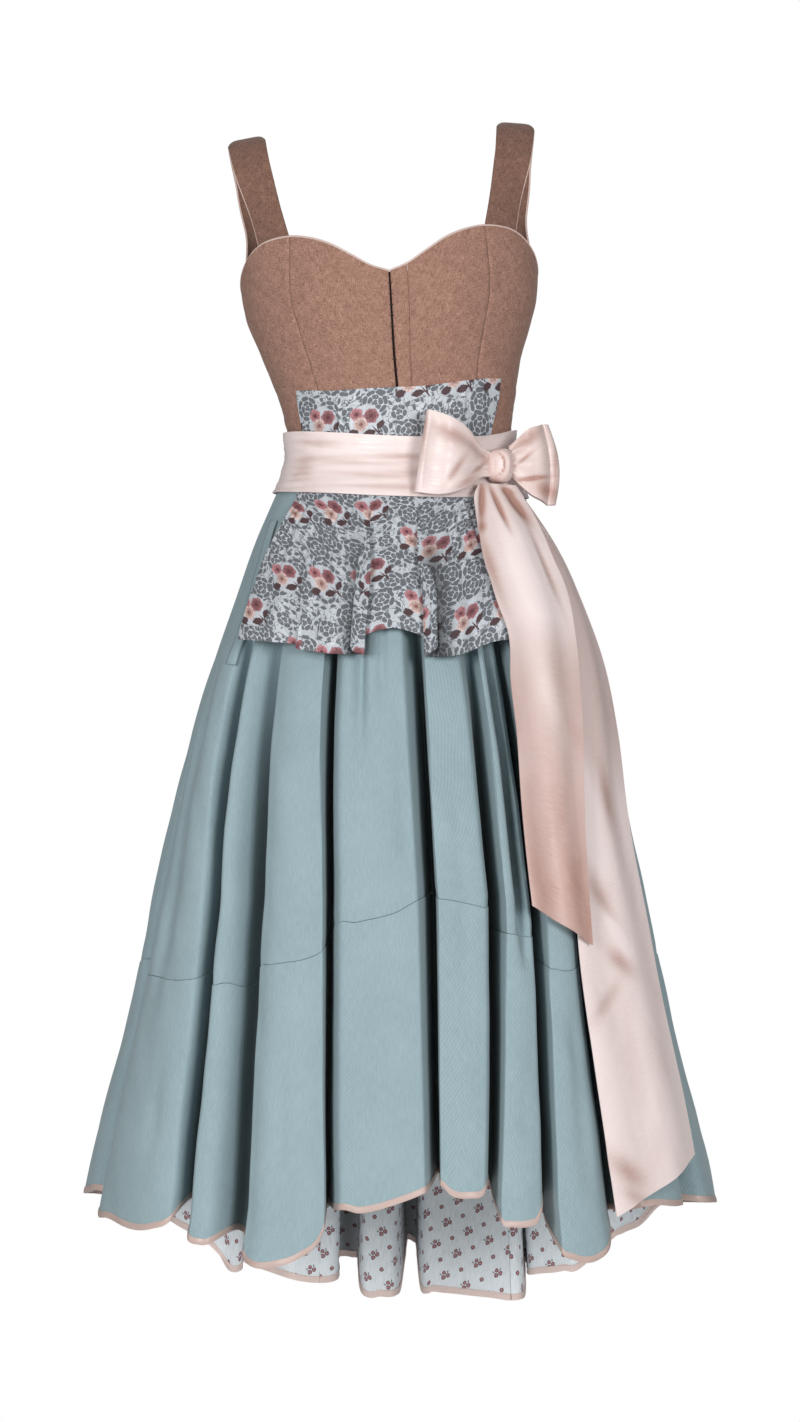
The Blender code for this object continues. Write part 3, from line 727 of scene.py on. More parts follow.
@dataclass(frozen=True)
class Jacquard:
    """Figured satin with roses and leaves in its own grey, and pairs of small bouquets in colour.

    Attributes:
        ground, bright: the shining ground, and its threads in the light.
        figure, worn: the grey figure, and its threads in the light.
        rose: the spacing of the grey roses, in metres.
        ring: the width of a ring of their petals.
        sprig: the spacing of the leaves between them.
        bouquet: the width and height of a bouquet's cell, in metres.
        shift: where the first bouquet's cell begins, across and up.
        ragged: how far the weave frays a bouquet's outlines.
        pink, heart, cream: the colours of the roses.
        leaf, vein: the colours of the leaves.
    """

    name: str = "grey_jacquard"
    ground: Colour = (0.43, 0.465, 0.50)
    bright: Colour = (0.59, 0.625, 0.665)
    figure: Colour = (0.096, 0.105, 0.119)
    worn: Colour = (0.165, 0.178, 0.198)
    rose: float = 0.029
    ring: float = 0.0053
    sprig: float = 0.0084
    bouquet: tuple[float, float] = (0.051, 0.086)
    shift: tuple[float, float] = (0.011, 0.0196)
    ragged: float = 0.0052
    pink: Colour = (0.45, 0.215, 0.235)
    heart: Colour = (0.120, 0.036, 0.044)
    cream: Colour = (0.56, 0.43, 0.40)
    leaf: Colour = (0.045, 0.024, 0.028)
    vein: Colour = (0.10, 0.05, 0.055)

    def parts(
        self, p: Figure, place: Value, spacing: float, random: float
    ) -> tuple[Value, Value, Value, Value]:
        """Scattered middles: metres and direction from the nearest one, and two numbers of chance for it."""
        inputs = {"Vector": place, "Scale": 1 / spacing, "Randomness": random}
        cells = p.add("ShaderNodeTexVoronoi", inputs, voronoi_dimensions="2D")
        away = p.add("ShaderNodeVectorMath", {0: place, 1: p.out(cells, "Position")}, operation="SUBTRACT")
        chance = p.add("ShaderNodeSeparateColor", {0: p.out(cells, "Color")})
        return *p.polar(*p.split(p.out(away))), p.out(chance, 0), p.out(chance, 1)

    def petals(self, p: Figure, place: Value) -> tuple[Value, Value]:
        """Roses of petals laid in rings round scattered middles.

        A rose's distance over the ring width, plus 0.3, gives the ring's number n. The direction is cut
        into 2 n + 3 petals. A petal is where |2 a| ** 3 + |2 b| ** 2.4 is under a limit, with a and b the
        places along and across it from -0.5 to 0.5. A line is left free down the middle of some.

        Args:
            p: the pattern.
            place: metres across and up, as a vector.

        Returns:
            Where petals lie, and where it is outside every rose.
        """
        far, way, luck, other = self.parts(p, place, self.rose, 0.55)
        level = far * (1 / self.ring) + 0.30
        number = p.math("FLOOR", level)
        b = level - number - 0.5
        turned = way * (1 / (2 * math.pi)) + (luck + number * 0.37)
        a = p.math("FRACT", (turned + 3.0) * (number * 2.0 + 3.0)) - 0.5
        wide = abs(a * 2.08) ** 3.0
        tall = abs(b * 2.16) ** 2.4
        line = p.ramp(abs(wide * 0.3 + (b - 0.06)), 0.03, 0.07)
        some = p.math("GREATER_THAN", p.math("FRACT", turned * 7.0), 0.25)
        petal = p.ramp(wide + tall, 1.05, 0.85) * p.both(line, p.ramp(wide, 0.04, 0.08), some)
        reach = other * 1.1 + 1.75
        outside = p.ramp(level - p.math("FLOOR", reach + 1.0), -0.05, 0.15)
        return petal * p.math("LESS_THAN", number, reach), outside

    def sprigs(self, p: Figure, place: Value) -> Value:
        """Small pointed leaves in scattered directions, joined by winding twigs."""
        far, way, luck, other = self.parts(p, place, self.sprig, 1.0)
        way = luck * 6.28 + way
        along = far * p.math("COSINE", way)
        across = abs(far * p.math("SINE", way))
        oval = p.ramp(1.0 - (along / 0.0046) ** 2.0 - across / 0.0022, 0.0, 0.2)
        leaves = oval * p.ramp(other, 0.20, 0.22)
        winding = p.noise(place, 135.0, 1.0, 0.5, 0.8)
        return p.both(leaves, p.ramp(abs(winding - 0.5), 0.034, 0.016))

    def grey(self, p: Figure, u: Value, v: Value, clear: Value) -> Value:
        """The grey figure, roses with sprigs between.

        Args:
            p: the pattern.
            u, v: metres across and up.
            clear: where the ground stays free.

        Returns:
            Where the figure's thread lies on top.
        """
        wobble = p.noise(p.place(), 130.0, 1.0)
        sway = p.noise(p.place(turn=70.0), 90.0, 1.0)
        place = p.out(p.add("ShaderNodeCombineXYZ", {0: wobble * 0.0030 + u, 1: sway * 0.0034 + v}))
        rose, outside = self.petals(p, place)
        between = self.sprigs(p, place) * outside * p.ramp(p.noise(place, 34.0, 1.0), 0.30, 0.36)
        return p.both(rose, between) * (1.0 - clear)

    def stalks(self, p: Figure, x: Value, y: Value) -> Value:
        """A bouquet's two stems and three leaves."""
        ovals = (
            ((0.0150, -0.0115), (0.0095, 0.0009), -48),
            ((0.0165, -0.0115), (0.0078, 0.0008), -77),
            ((-0.0128, -0.0128), (0.0068, 0.0048), 20),
            ((0.0062, -0.0128), (0.0082, 0.0044), 14),
            ((0.0180, -0.0035), (0.0064, 0.0038), 58),
        )
        return p.both(*(p.leaf(x, y, middle, size, turn) for middle, size, turn in ovals))

    def material(self) -> Material:
        """Grey figure on the ground, cleared round each bouquet; then leaves, two pink roses and a cream one.

        Where a figure's thread lies on top the cloth is a little higher and duller.
        """
        p = Figure(self.name, 0.42, sheen=0.08, specular=0.4)
        u, v = p.split(p.place())
        x, y = p.cell(u + self.shift[0], v - self.shift[1], self.bouquet, self.bouquet[1] / 2, 4.0)
        fray = p.noise(p.place(), 520.0, 3.0, 0.8) - 0.5
        x = fray * self.ragged + x
        y = fray * -self.ragged + y
        far, _ = p.polar(x - 0.001, y * 0.95)
        clear = p.ramp(p.noise(p.place(), 110.0, 1.0) * 0.006 + far, 0.0222, 0.0208)
        grey = self.grey(p, u, v, clear)
        thread = p.noise(p.place((1500, 260, 1)), 1.0, 2.0)
        cloud = p.noise(p.place(), 60.0, 2.0)
        ground = p.mix(p.ramp(thread + cloud * 0.5, 0.5, 1.0), self.ground, self.bright)
        colour = p.mix(grey, ground, p.mix(thread, self.figure, self.worn))
        stalks = self.stalks(p, x, y)
        colour = p.mix(stalks, colour, p.mix(thread, self.leaf, self.vein))
        rosy = tuple(0.45 * a + 0.55 * b for a, b in zip(self.heart, self.pink))
        heads = (
            (Flower(-0.0095, 0.0085, 0.0080, 5, 1.4), self.pink, (0.20, 0.065, 0.07), self.heart),
            (Flower(0.0072, 0.0068, 0.0090, 6, 0.0), rosy, (0.09, 0.024, 0.027), self.heart),
            (Flower(-0.0042, -0.0030, 0.0086, 5, 0.5), self.cream, (0.33, 0.18, 0.155), (0.24, 0.105, 0.09)),
        )
        covers = []
        woven = p.ramp(p.noise(p.place((430, 430, 1)), 1.0, 3.0, 0.8), 0.42, 0.60)
        for flower, petal, line, core in heads:
            cover, lines, share = p.head(x, y, flower)
            pale = tuple(min(1.0, value * 1.45) for value in petal)
            tone = p.mix(p.ramp(share, 0.45, 1.0), petal, pale)
            tone = p.mix(woven * 0.60, tone, line)
            tone = p.mix(lines * 0.8, tone, line)
            tone = p.mix(p.ramp(share, 0.42, 0.18), tone, core)
            colour = p.mix(cover, colour, tone)
            covers.append(cover)
        raised = p.both(grey, stalks, *covers)
        normal = p.bump(raised * 0.8 + thread * 0.5, 0.00025, 0.6)
        # The tone attribute adds painted shade in the apron's deep troughs.
        return p.finish(p.shaded(colour), normal, p.ramp(raised, 0.0, 1.0, 0.36, 0.62))


@dataclass(frozen=True)
class BudCotton:
    """Printed cotton: clusters of rosebuds in a turned square repeat, with one bud between four clusters.

    Attributes:
        ground: the cloth's colour.
        bud, light_bud: the buds' colours, at the rim and in the middle.
        sprig: the leaves' colour.
        spacing: from cluster to cluster, in metres.
        turn: the repeat's turn, in degrees.
    """

    name: str = "bud_cotton"
    ground: Colour = (0.75, 0.80, 0.83)
    bud: Colour = (0.20, 0.085, 0.105)
    light_bud: Colour = (0.48, 0.27, 0.28)
    sprig: Colour = (0.21, 0.20, 0.21)
    spacing: float = 0.0285
    turn: float = -19.0

    def material(self) -> Material:
        """Buds are small flower heads; a crinkle is a noise drawn out along the cloth."""
        p = Figure(self.name, 0.85, sheen=0.05, specular=0.25)
        x, y = p.cell(*p.split(p.place(turn=self.turn)), (self.spacing, self.spacing))
        crinkle = p.noise(p.place((900, 70, 1)), 1.0, 3.0, 0.6)
        colour = p.mix(p.ramp(crinkle, 0.3, 0.75), self.ground, tuple(value * 1.22 for value in self.ground))
        spray = p.both(
            p.leaf(x, y, (-0.0008, 0.0054), (0.0022, 0.0010), 70),
            p.leaf(x, y, (0.0050, -0.0012), (0.0020, 0.0010), 10),
        )
        colour = p.mix(spray * 0.85, colour, self.sprig)
        corner = abs(x) - self.spacing / 2, abs(y) - self.spacing / 2
        heads = (
            (x, y, Flower(-0.0031, 0.0016, 0.0028, 3, 0.4)),
            (x, y, Flower(0.0024, 0.0024, 0.0026, 3, 1.3)),
            (x, y, Flower(0.0003, -0.0028, 0.0029, 3, 2.2)),
            (*corner, Flower(0.0, 0.0, 0.0028, 4, 0.0)),
        )
        for across, up, flower in heads:
            cover, lines, share = p.head(across, up, flower)
            tone = p.mix(p.ramp(share, 0.25, 0.75), self.light_bud, self.bud)
            colour = p.mix(cover, colour, p.mix(lines * 0.6, tone, self.light_bud))
        # The tone attribute adds painted shade in the gaps of the lining.
        return p.finish(p.shaded(colour), p.bump(crinkle, 0.0004, 0.6))


def hook_wire() -> Material:
    """Blackened wire with fine wear."""
    p = Pattern("hook_wire", 0.35)
    p.feed(p.shader, {"Metallic": 0.8})
    wear = p.noise(p.place(kind="Object"), 900.0)
    colour = p.mix(p.ramp(wear, 0.5, 0.8), (0.05, 0.045, 0.045), (0.12, 0.11, 0.10))
    return p.finish(colour)


class Wardrobe:
    """Makes each finish once and dresses pieces with it."""

    def __init__(self) -> None:
        """All the finishes of the dress."""
        self.rose = MelangeWool().material()
        # The straps are the bodice wool darkened: painted shade.
        self.strap_rose_painted_shade = MelangeWool("rose_strap_painted_shade", (0.36, 0.200, 0.148), (0.100, 0.050, 0.035)).material()
        # The underlap's near-black colour is painted shade, for the gap behind the opening.
        dark = (0.030, 0.018, 0.015), (0.012, 0.008, 0.007)
        self.shadow_rose = MelangeWool("rose_underlap_painted_shade", *dark).material()
        self.teal = TwillWool().material()
        self.satin = Satin().material()
        # The binding's pale colour is painted light for its back, which lies in shade inside the skirt; its
        # front gets painted shade through the tone.
        self.binding_satin = Satin("binding_satin", (0.80, 0.64, 0.59), (0.36, 0.26, 0.225)).material()
        self.piping_satin = Satin("piping_satin", (0.64, 0.48, 0.43), (0.46, 0.29, 0.25)).material()
        self.print_cotton = BudCotton().material()
        self.jacquard = Jacquard().material()
        self.wire = hook_wire()

    def dress(
        self,
        piece: Object,
        material: Material,
        slot: Slot | None,
        nodes: Sequence[str] = (),
        held: str = "",
        rests_on: Sequence[str] = (),
    ) -> None:
        """Gives a piece its finish and its body, and hides the CAD nodes that it stands for.

        Args:
            piece: the finished mesh.
            material: its finish.
            slot: the record's slot, or None for a fastening; not used.
            nodes: the CAD nodes it stands for.
            held: how it is held, where the piece is a sheet of cloth.
            rests_on: what a sheet rests on; not used.
        """
        mesh = piece.data
        mesh.materials.append(material)
        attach(piece, "root")
        if nodes:
            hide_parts(*nodes)
        if held:
            width, length, area = cut_size(mesh)
            area = min(area, width * length)
        log.info("%s: %d triangles", piece.name, sum(len(face.vertices) - 2 for face in mesh.polygons))


def cut_size(mesh: bpy.types.Mesh) -> tuple[float, float, float]:
    """The flat piece that a closed sheet was cut to: the extent of its flat map and half its area.

    Args:
        mesh: a closed sheet with a flat map in metres.

    Returns:
        Width, length and area.
    """
    flat = np.empty(len(mesh.loops) * 2, dtype=np.float32)
    mesh.uv_layers[0].data.foreach_get("uv", flat)
    extent = np.ptp(flat.reshape(-1, 2).astype(float), axis=0)
    areas = np.empty(len(mesh.polygons), dtype=np.float32)
    mesh.polygons.foreach_get("area", areas)
    return float(extent[0]), float(extent[1]), float(areas.sum(dtype=float) / 2)


# ---------------------------------------------------------------- bodice


TOP_EDGE = Table(
    ("angle", "height"),
    [
        (0, -0.174), (11, -0.166), (21, -0.153), (31, -0.140), (41, -0.1315), (50, -0.1276),
        (57, -0.1280), (63, -0.1305), (69, -0.137), (77, -0.150), (90, -0.171), (101, -0.174),
        (115, -0.166), (127, -0.149), (137, -0.142), (150, -0.150), (165, -0.162), (180, -0.166),
    ],
)

# The middle line of a strap, from -1 at its front end over the shoulder at 0 to 1 at its back end.
STRAP_PATH = Table(
    ("turn", "across", "forward", "up"),
    [
        (-1.00, 0.1210, -0.0790, -0.142), (-0.72, 0.1325, -0.0740, -0.090),
        (-0.40, 0.1435, -0.0540, -0.034), (-0.15, 0.1480, -0.0220, -0.006),
        (0.00, 0.149, 0.0000, -0.0015), (0.15, 0.149, 0.0200, -0.006),
        (0.40, 0.146, 0.0450, -0.036), (0.72, 0.141, 0.0560, -0.095),
        (1.00, 0.1190, 0.0620, -0.160),
    ],
)


def on_bust(angle: Array, height: Array, rise: Array | float) -> Array:
    """Points at a distance over the bust's oval, leaned with the upper body."""
    return leaned(at_radius(angle, height, bust_radius(angle, height) + rise))


@dataclass
class Bodice:
    """The fitted top: eight wool panels, four strap pieces, satin piping on every edge, hooks down the front.

    Attributes:
        wardrobe: the finishes.
        opening, placket, princess, side, back: the angles of the seams.
        rows: rows of each panel.
        columns: columns to a degree.
        strap_width, strap_depth: its width, and how far its ends lie inside the oval.
        strap_seated: the places on its path between which it comes to lie on the oval.
        piping_radius: the piping's radius.
        hooks, first_hook, hook_step: how many hooks, the height of the first, and the step down.
    """

    wardrobe: Wardrobe
    opening: float = 0.4
    placket: float = 10.0
    princess: float = 50.0
    side: float = 92.0
    back: float = 150.0
    rows: int = 66
    columns: float = 1.3
    strap_width: float = 0.042
    strap_depth: float = 0.0032
    strap_seated: tuple[float, float] = (0.45, 1.00)
    piping_radius: float = 0.0011
    hooks: int = 9
    first_hook: float = -0.186
    hook_step: float = 0.0115

    def panel(self, start: float, stop: float) -> Array:
        """A panel from the top edge to the waist seam, with faint drag lines, rolled in beside its seams.

        Beside the opening the panel's edge draws back a little more the further down it goes.

        Args:
            start: the panel's first seam, in degrees.
            stop: its last seam.

        Returns:
            Points of its face.
        """
        angle = across_row(max(16, round((stop - start) * self.columns)), start, stop)
        top = TOP_EDGE.at("height", np.abs(wrapped(angle)))
        height = top + (WAIST + SEAM_GAP - top) * down_column(self.rows)
        gap = np.degrees(SEAM_GAP / 2 / BODY.at("half_width", height))
        parted = np.degrees((0.0001 + 0.0011 * (height - top) / (WAIST - top)) / 0.12)
        low = start + gap + parted * (start == self.opening)
        high = stop - gap - parted * (stop == -self.opening)
        angle = low + (high - low) * (angle - start) / (stop - start)
        degree, roll_depth, roll_width = 0.0026, 0.0013, 0.0016
        edge = np.minimum(angle - start, stop - angle) * degree
        roll = -roll_depth * np.exp(-((edge / roll_width) ** 2))
        drag = 0.0007 * smooth_step(-0.24, -0.34, height) * ruffle(height * 120 + angle * 0.06, 0.7)
        drag += 0.0005 * ruffle(height * 45 + angle * 0.11, 2.1)
        return on_bust(angle, height, roll + drag)

    def build_panels(self) -> None:
        """Eight panels and the underlap behind the opening, near black as painted shade."""
        wear = self.wardrobe
        panels = [
            ("bodice_front_right", -self.princess, -self.opening),
            ("bodice_button_stand", self.opening, self.placket),
            ("bodice_front_left", self.placket, self.princess),
            ("bodice_side_front_right", -self.side, -self.princess),
            ("bodice_side_front_left", self.princess, self.side),
            ("bodice_side_back_right", -self.back, -self.side),
            ("bodice_side_back_left", self.side, self.back),
            ("bodice_back", self.back, FULL_TURN - self.back),
        ]
        for name, start, stop in panels:
            piece = cloth(f"cloth_{name}", self.panel(start, stop), BODICE_WALL)
            wear.dress(piece, wear.rose, Slot.ROSE_WOOL, [name], "stretched")
        # A dark sheet of painted shade behind the opening.
        top, behind = -0.1735, 0.0014
        points = on_bust(across_row(14, -3.0, 12.5), down_column(60, top, WAIST), -BODICE_WALL - behind)
        piece = cloth("cloth_underlap_painted_shade", points, 0.0010)
        wear.dress(piece, wear.shadow_rose, Slot.ROSE_WOOL, (), "stretched")

    def strap(self, side: int, start: float, stop: float, rows: int) -> Array:
        """A band over the shoulder whose end lies against the bodice's inner face.

        The middle line is read from the path table; the width lies across the body, square to the line, and
        its edges round off on the shoulder. The end is blended onto the oval of the body, inside the panels.

        Args:
            side: -1 for the wearer's right, 1 for the left.
            start: place on the path, -1 at the front end and 1 at the back end.
            stop: where the piece ends.
            rows: points along it.

        Returns:
            Points of its outer face.
        """
        ends = np.array([start, stop])
        along = spread(*(np.sign(ends) * np.sqrt(np.abs(ends))), rows)
        along = np.sign(along) * along**2
        turn = along * math.pi / 2
        middle = np.stack([STRAP_PATH.at(name, along) for name in ("across", "forward", "up")], axis=-1)
        path = np.gradient(middle, axis=0)
        aside = np.stack([0 * along + 1, 0.62 * -np.sin(turn), -0.12 + 0 * along], axis=-1)
        aside -= path * (np.sum(aside * path, axis=-1) / np.sum(path * path, axis=-1))[:, None]
        across = spread(-0.5, 0.5, 22) * self.strap_width
        free = middle[:, None, :] + unit(aside)[:, None, :] * across[None, :, None]
        free[..., 2] -= 0.0055 * (2 * across / self.strap_width) ** 6 * np.cos(turn)[:, None] ** 2
        height = middle[:, 2][:, None]
        angle = 0 * height + 55.0
        for _ in range(25):
            radius = body_radius(angle if stop <= 0 else 180 - angle, height) - self.strap_depth
            angle = np.degrees(np.arcsin(np.clip(middle[:, :1] / radius, 0, 0.97)))
        turned = np.degrees(across / 0.150)[None, :]
        angle = angle + turned if stop <= 0 else 180 - angle - turned
        seated = at_radius(angle, height, body_radius(angle, height) - self.strap_depth)
        points = free + (seated - free) * smooth_step(*self.strap_seated, np.abs(along))[:, None, None]
        points[..., 0] *= side
        return leaned(points[::-1] if side > 0 else points)

    def build_straps(self) -> None:
        """Front and back straps, each with piping on its outer edge."""
        wear = self.wardrobe
        half_gap = SEAM_GAP / 0.26
        for side, word in ((-1, "right"), (1, "left")):
            for place, start, stop in (("front", -1.0, -half_gap), ("back", half_gap, 1.0)):
                name = f"strap_{place}_{word}"
                points = self.strap(side, start, stop, 60)
                piece = cloth(f"cloth_{name}", points, BODICE_WALL)
                wear.dress(piece, wear.strap_rose_painted_shade, Slot.ROSE_WOOL, [name], "stretched")
                edge = moved_out(points, -BODICE_WALL / 2)[:, -1]
                cord = tube(f"piping_on_{name}", edge, self.piping_radius)
                wear.dress(cord, wear.piping_satin, Slot.PINK_SATIN)

    def build_piping(self) -> None:
        """Satin cord on top of the panels' edges: round the neckline, both armholes and the back."""
        front, back, gap = 66.0, 118.0, 0.4
        lengths = [
            ("piping_neck", -front, front, 160),
            ("piping_armhole_right", -back, -front - gap, 60),
            ("piping_armhole_left", front + gap, back, 60),
            ("piping_back", back + gap, FULL_TURN - back - gap, 110),
        ]
        for name, start, stop, count in lengths:
            angle = spread(start, stop, count)
            height = TOP_EDGE.at("height", np.abs(wrapped(angle))) + 0.0001 + self.piping_radius
            line = on_bust(angle, height, -BODICE_WALL / 2)
            piece = tube(f"satin_{name}", line, self.piping_radius, 12)
            self.wardrobe.dress(piece, self.wardrobe.piping_satin, Slot.PINK_SATIN, [name])

    def build_hooks(self) -> None:
        """Small wire hooks across the centre front: each an arch of wire, half a turn of a circle."""
        turn = spread(0, math.pi, 13)
        half_width, rise, sunk, radius = 1.15, 0.0013, 0.0004, 0.00045
        for number in range(self.hooks):
            height = self.first_hook - number * self.hook_step + 0 * turn
            path = on_bust(half_width * np.cos(turn), height, rise * np.sin(turn) - sunk)
            self.wardrobe.dress(tube(f"hook_{number + 1}", path, radius, 8), self.wardrobe.wire, None)

    def build(self) -> None:
        """Every piece of the bodice."""
        self.build_panels()
        self.build_straps()
        self.build_piping()
        self.build_hooks()


# ---------------------------------------------------------------- skirt


@dataclass(frozen=True)
class Side:
    """How the cloth turns into a fold's gap on one side.

    Attributes:
        width: from the gap's middle to its wall, in degrees at the hem.
        power: 4 for a steep wall and a crisp edge, 1.6 for a slow slope.
        fall: how far the ridge beside it rounds off, in metres.
    """

    width: float
    power: float = 4.0
    fall: float = 0.003


SOFT = Side(2.2, 1.8, 0.008)


@dataclass(frozen=True)
class Fold:
    """A deep gap between two ridges of the skirt.

    Attributes:
        hem, middle, top: its place at the hem, half way and at the hips, in degrees.
        left, right: its two sides.
        depth: metres at the hem.
        start: the height where it begins.
        lean: how far its floor slips sideways under a ridge, as a share of its depth.
        twist: how much more the right side leans, and how much less the left one.
    """

    hem: float
    middle: float
    top: float
    left: Side
    right: Side
    depth: float
    start: float
    lean: float = 0.0
    twist: float = 0.0


FOLDS = (
    Fold(-90, -88, -90, SOFT, SOFT, 0.036, -0.48),
    Fold(-70, -71, -79, SOFT, Side(1.0, 3.0, 0.004), 0.020, -0.46, -0.4),
    Fold(-43.6, -48.2, -58, Side(1.8, 2.4, 0.010), Side(1.4, 4.0, 0.002), 0.052, -0.45, -0.85),
    Fold(-32.6, -36.6, -44.2, Side(3.0, 1.8, 0.008), Side(0.9, 5.0, 0.014), 0.058, -0.42, -0.58),
    Fold(-14.4, -18.4, -24.3, Side(0.7, 5.0, 0.008), Side(1.2, 2.0, 0.004), 0.080, -0.40, -0.30),
    Fold(7.2, 7.4, 5.0, Side(1.2, 3.0, 0.003), Side(0.8, 5.0, 0.001), 0.088, -0.40, 0.18),
    Fold(18.8, 24.6, 24.2, Side(1.0, 3.0, 0.005), Side(1.0, 4.0, 0.002), 0.074, -0.43, 0.34),
    Fold(30.2, 35.2, 36.0, Side(1.1, 3.0, 0.007), Side(0.9, 4.0, 0.003), 0.070, -0.42, 0.50),
    Fold(45, 47, 47, SOFT, SOFT, 0.050, -0.46, 0.8),
    Fold(66, 64, 65, SOFT, SOFT, 0.044, -0.48, 0.6),
    Fold(89, 88, 88, SOFT, SOFT, 0.040, -0.46),
    Fold(112, 113, 114, Side(4.0, 2.2), Side(3.6, 2.2), 0.048, -0.45, 0.10),
    Fold(139.5, 139, 138, Side(5.0, 5.0), Side(12.0, 18.0), 0.058, -0.45, -0.15, -0.15),
    Fold(161, 160, 160, Side(6.4, 12.0), Side(14.0, 24.0), 0.084, -0.43, -0.288, 0.268),
    Fold(185, 184, 182, Side(5.0, 9.0), Side(2.9, 6.0), 0.088, -0.46, 0.095, 0.095),
    Fold(-156.5, -157, -158, Side(8.2, 8.0), Side(8.0, 8.0), 0.076, -0.43),
    Fold(-137, -137, -137, Side(5.2, 5.0), Side(5.0, 4.0), 0.056, -0.47),
    Fold(-113, -113, -114, Side(3.8, 2.2), Side(3.8, 2.2), 0.048, -0.45, 0.10),
)

# Soft troughs on the ridges: place at the hem and width in degrees, depth, and the heights where they
# begin and end.
DIMPLES = (
    (-80, 3.0, 0.006, -0.62, -1.10), (-60, 3.0, 0.005, -0.55, -1.00),
    (-53, 2.0, 0.003, -0.98, -1.16), (-37.5, 1.8, 0.004, -0.80, -1.12),
    (-24, 1.6, 0.003, -0.98, -1.16), (-6.6, 1.5, 0.011, -0.46, -0.72),
    (-1.2, 1.3, 0.005, -0.47, -0.68), (2.6, 1.8, 0.003, -0.62, -0.86),
    (-4, 2.2, 0.003, -0.88, -1.12), (13, 1.5, 0.002, -0.66, -1.00),
    (25.9, 1.7, 0.040, -0.50, -0.92), (25, 1.8, 0.003, -0.98, -1.14),
    (38, 2.4, 0.004, -0.90, -1.18), (55, 4.0, 0.008, -0.60, -1.12), (77, 4.4, 0.007, -0.70, -1.16),
    (100, 4.0, 0.008, -0.62, -1.20), (125, 3.4, 0.007, -0.60, -1.14),
    (146, 2.0, 0.003, -0.72, -1.30), (157, 3.0, 0.004, -0.58, -1.18),
    (-146, 2.0, 0.005, -0.58, -1.16), (-125, 3.4, 0.007, -0.74, -1.24),
    (-102, 4.0, 0.008, -0.56, -1.10),
)

# The heights of the hem and of the seam above the hem band, round the skirt.
HEMLINE = Table(
    ("turn", "hem", "seam"),
    [
        (-176, -1.3395, -1.070), (-173.2, -1.3380, -1.066), (-172.2, -1.328, -1.065),
        (-171.2, -1.313, -1.063), (-169.5, -1.309, -1.060), (-166, -1.309, -1.058),
        (-163.5, -1.319, -1.058), (-157, -1.3245, -1.053), (-149, -1.315, -1.047),
        (-143, -1.300, -1.035), (-137, -1.306, -1.025), (-132, -1.262, -1.012),
        (-126, -1.236, -0.998), (-115, -1.209, -0.978), (-103, -1.191, -0.955),
        (-85, -1.172, -0.920), (-79, -1.165, -0.918), (-71, -1.163, -0.917), (-69, -1.175, -0.925),
        (-63, -1.177, -0.927), (-49.5, -1.177, -0.927), (-47, -1.171, -0.925),
        (-44.6, -1.152, -0.921), (-42, -1.182, -0.930), (-39, -1.188, -0.928),
        (-33, -1.184, -0.928), (-31.2, -1.198, -0.911), (-28, -1.206, -0.907),
        (-24, -1.204, -0.904), (-19.3, -1.194, -0.900), (-16, -1.177, -0.893),
        (-14.8, -1.160, -0.888), (-12.8, -1.149, -0.868), (-8, -1.149, -0.862), (0, -1.139, -0.852),
        (6.0, -1.128, -0.838), (8.4, -1.123, -0.838), (10, -1.131, -0.839), (14, -1.135, -0.844),
        (16.6, -1.133, -0.848), (18, -1.126, -0.850), (19.6, -1.154, -0.874),
        (20.4, -1.1625, -0.874), (22, -1.1645, -0.875), (25.5, -1.1645, -0.878),
        (27.2, -1.1615, -0.879), (28.3, -1.1525, -0.879), (29.2, -1.142, -0.880),
        (31.2, -1.190, -0.908), (33.5, -1.200, -0.912), (38.5, -1.201, -0.914),
        (41, -1.193, -0.911), (43, -1.178, -0.908), (48, -1.159, -0.900), (59, -1.161, -0.897),
        (76, -1.172, -0.905), (85, -1.182, -0.915), (103, -1.196, -0.960), (115, -1.210, -0.982),
        (122, -1.226, -1.000), (128, -1.255, -1.012), (131.5, -1.265, -1.018),
        (134, -1.276, -1.022), (135.5, -1.297, -1.026), (140, -1.306, -1.030),
        (147, -1.312, -1.044), (151.4, -1.315, -1.050), (153.2, -1.311, -1.050),
        (154.1, -1.321, -1.050), (155.1, -1.3385, -1.050), (156.2, -1.3400, -1.051),
        (160, -1.3392, -1.058), (172, -1.3350, -1.064), (174.3, -1.3340, -1.062),
        (175.1, -1.318, -1.061), (176.0, -1.297, -1.060), (177.2, -1.290, -1.061),
        (178.8, -1.291, -1.064), (179.7, -1.312, -1.068), (180.6, -1.337, -1.070),
        (181.4, -1.3395, -1.070),
    ],
    FULL_TURN,
)

# Painted shade in the gaps between the columns of the lining: across, back, length, width, turn and depth of
# the shade.
LINING_PAINTED_SHADE = (
    (-0.0640, 0.335, 0.0190, 0.045, 0, 1.1),
    (0.0104, 0.335, 0.0220, 0.045, 0, 1.1),
)

# The pocket welt's two edges, in degrees at the hem.
WELT = Table(
    ("height", "outer", "inner"),
    [
        (-0.597, -52.2, -47.6), (-0.560, -51.6, -47.2), (-0.521, -52.9, -47.0),
        (-0.475, -56.2, -49.1), (-0.4365, -60.8, -53.2),
    ],
)


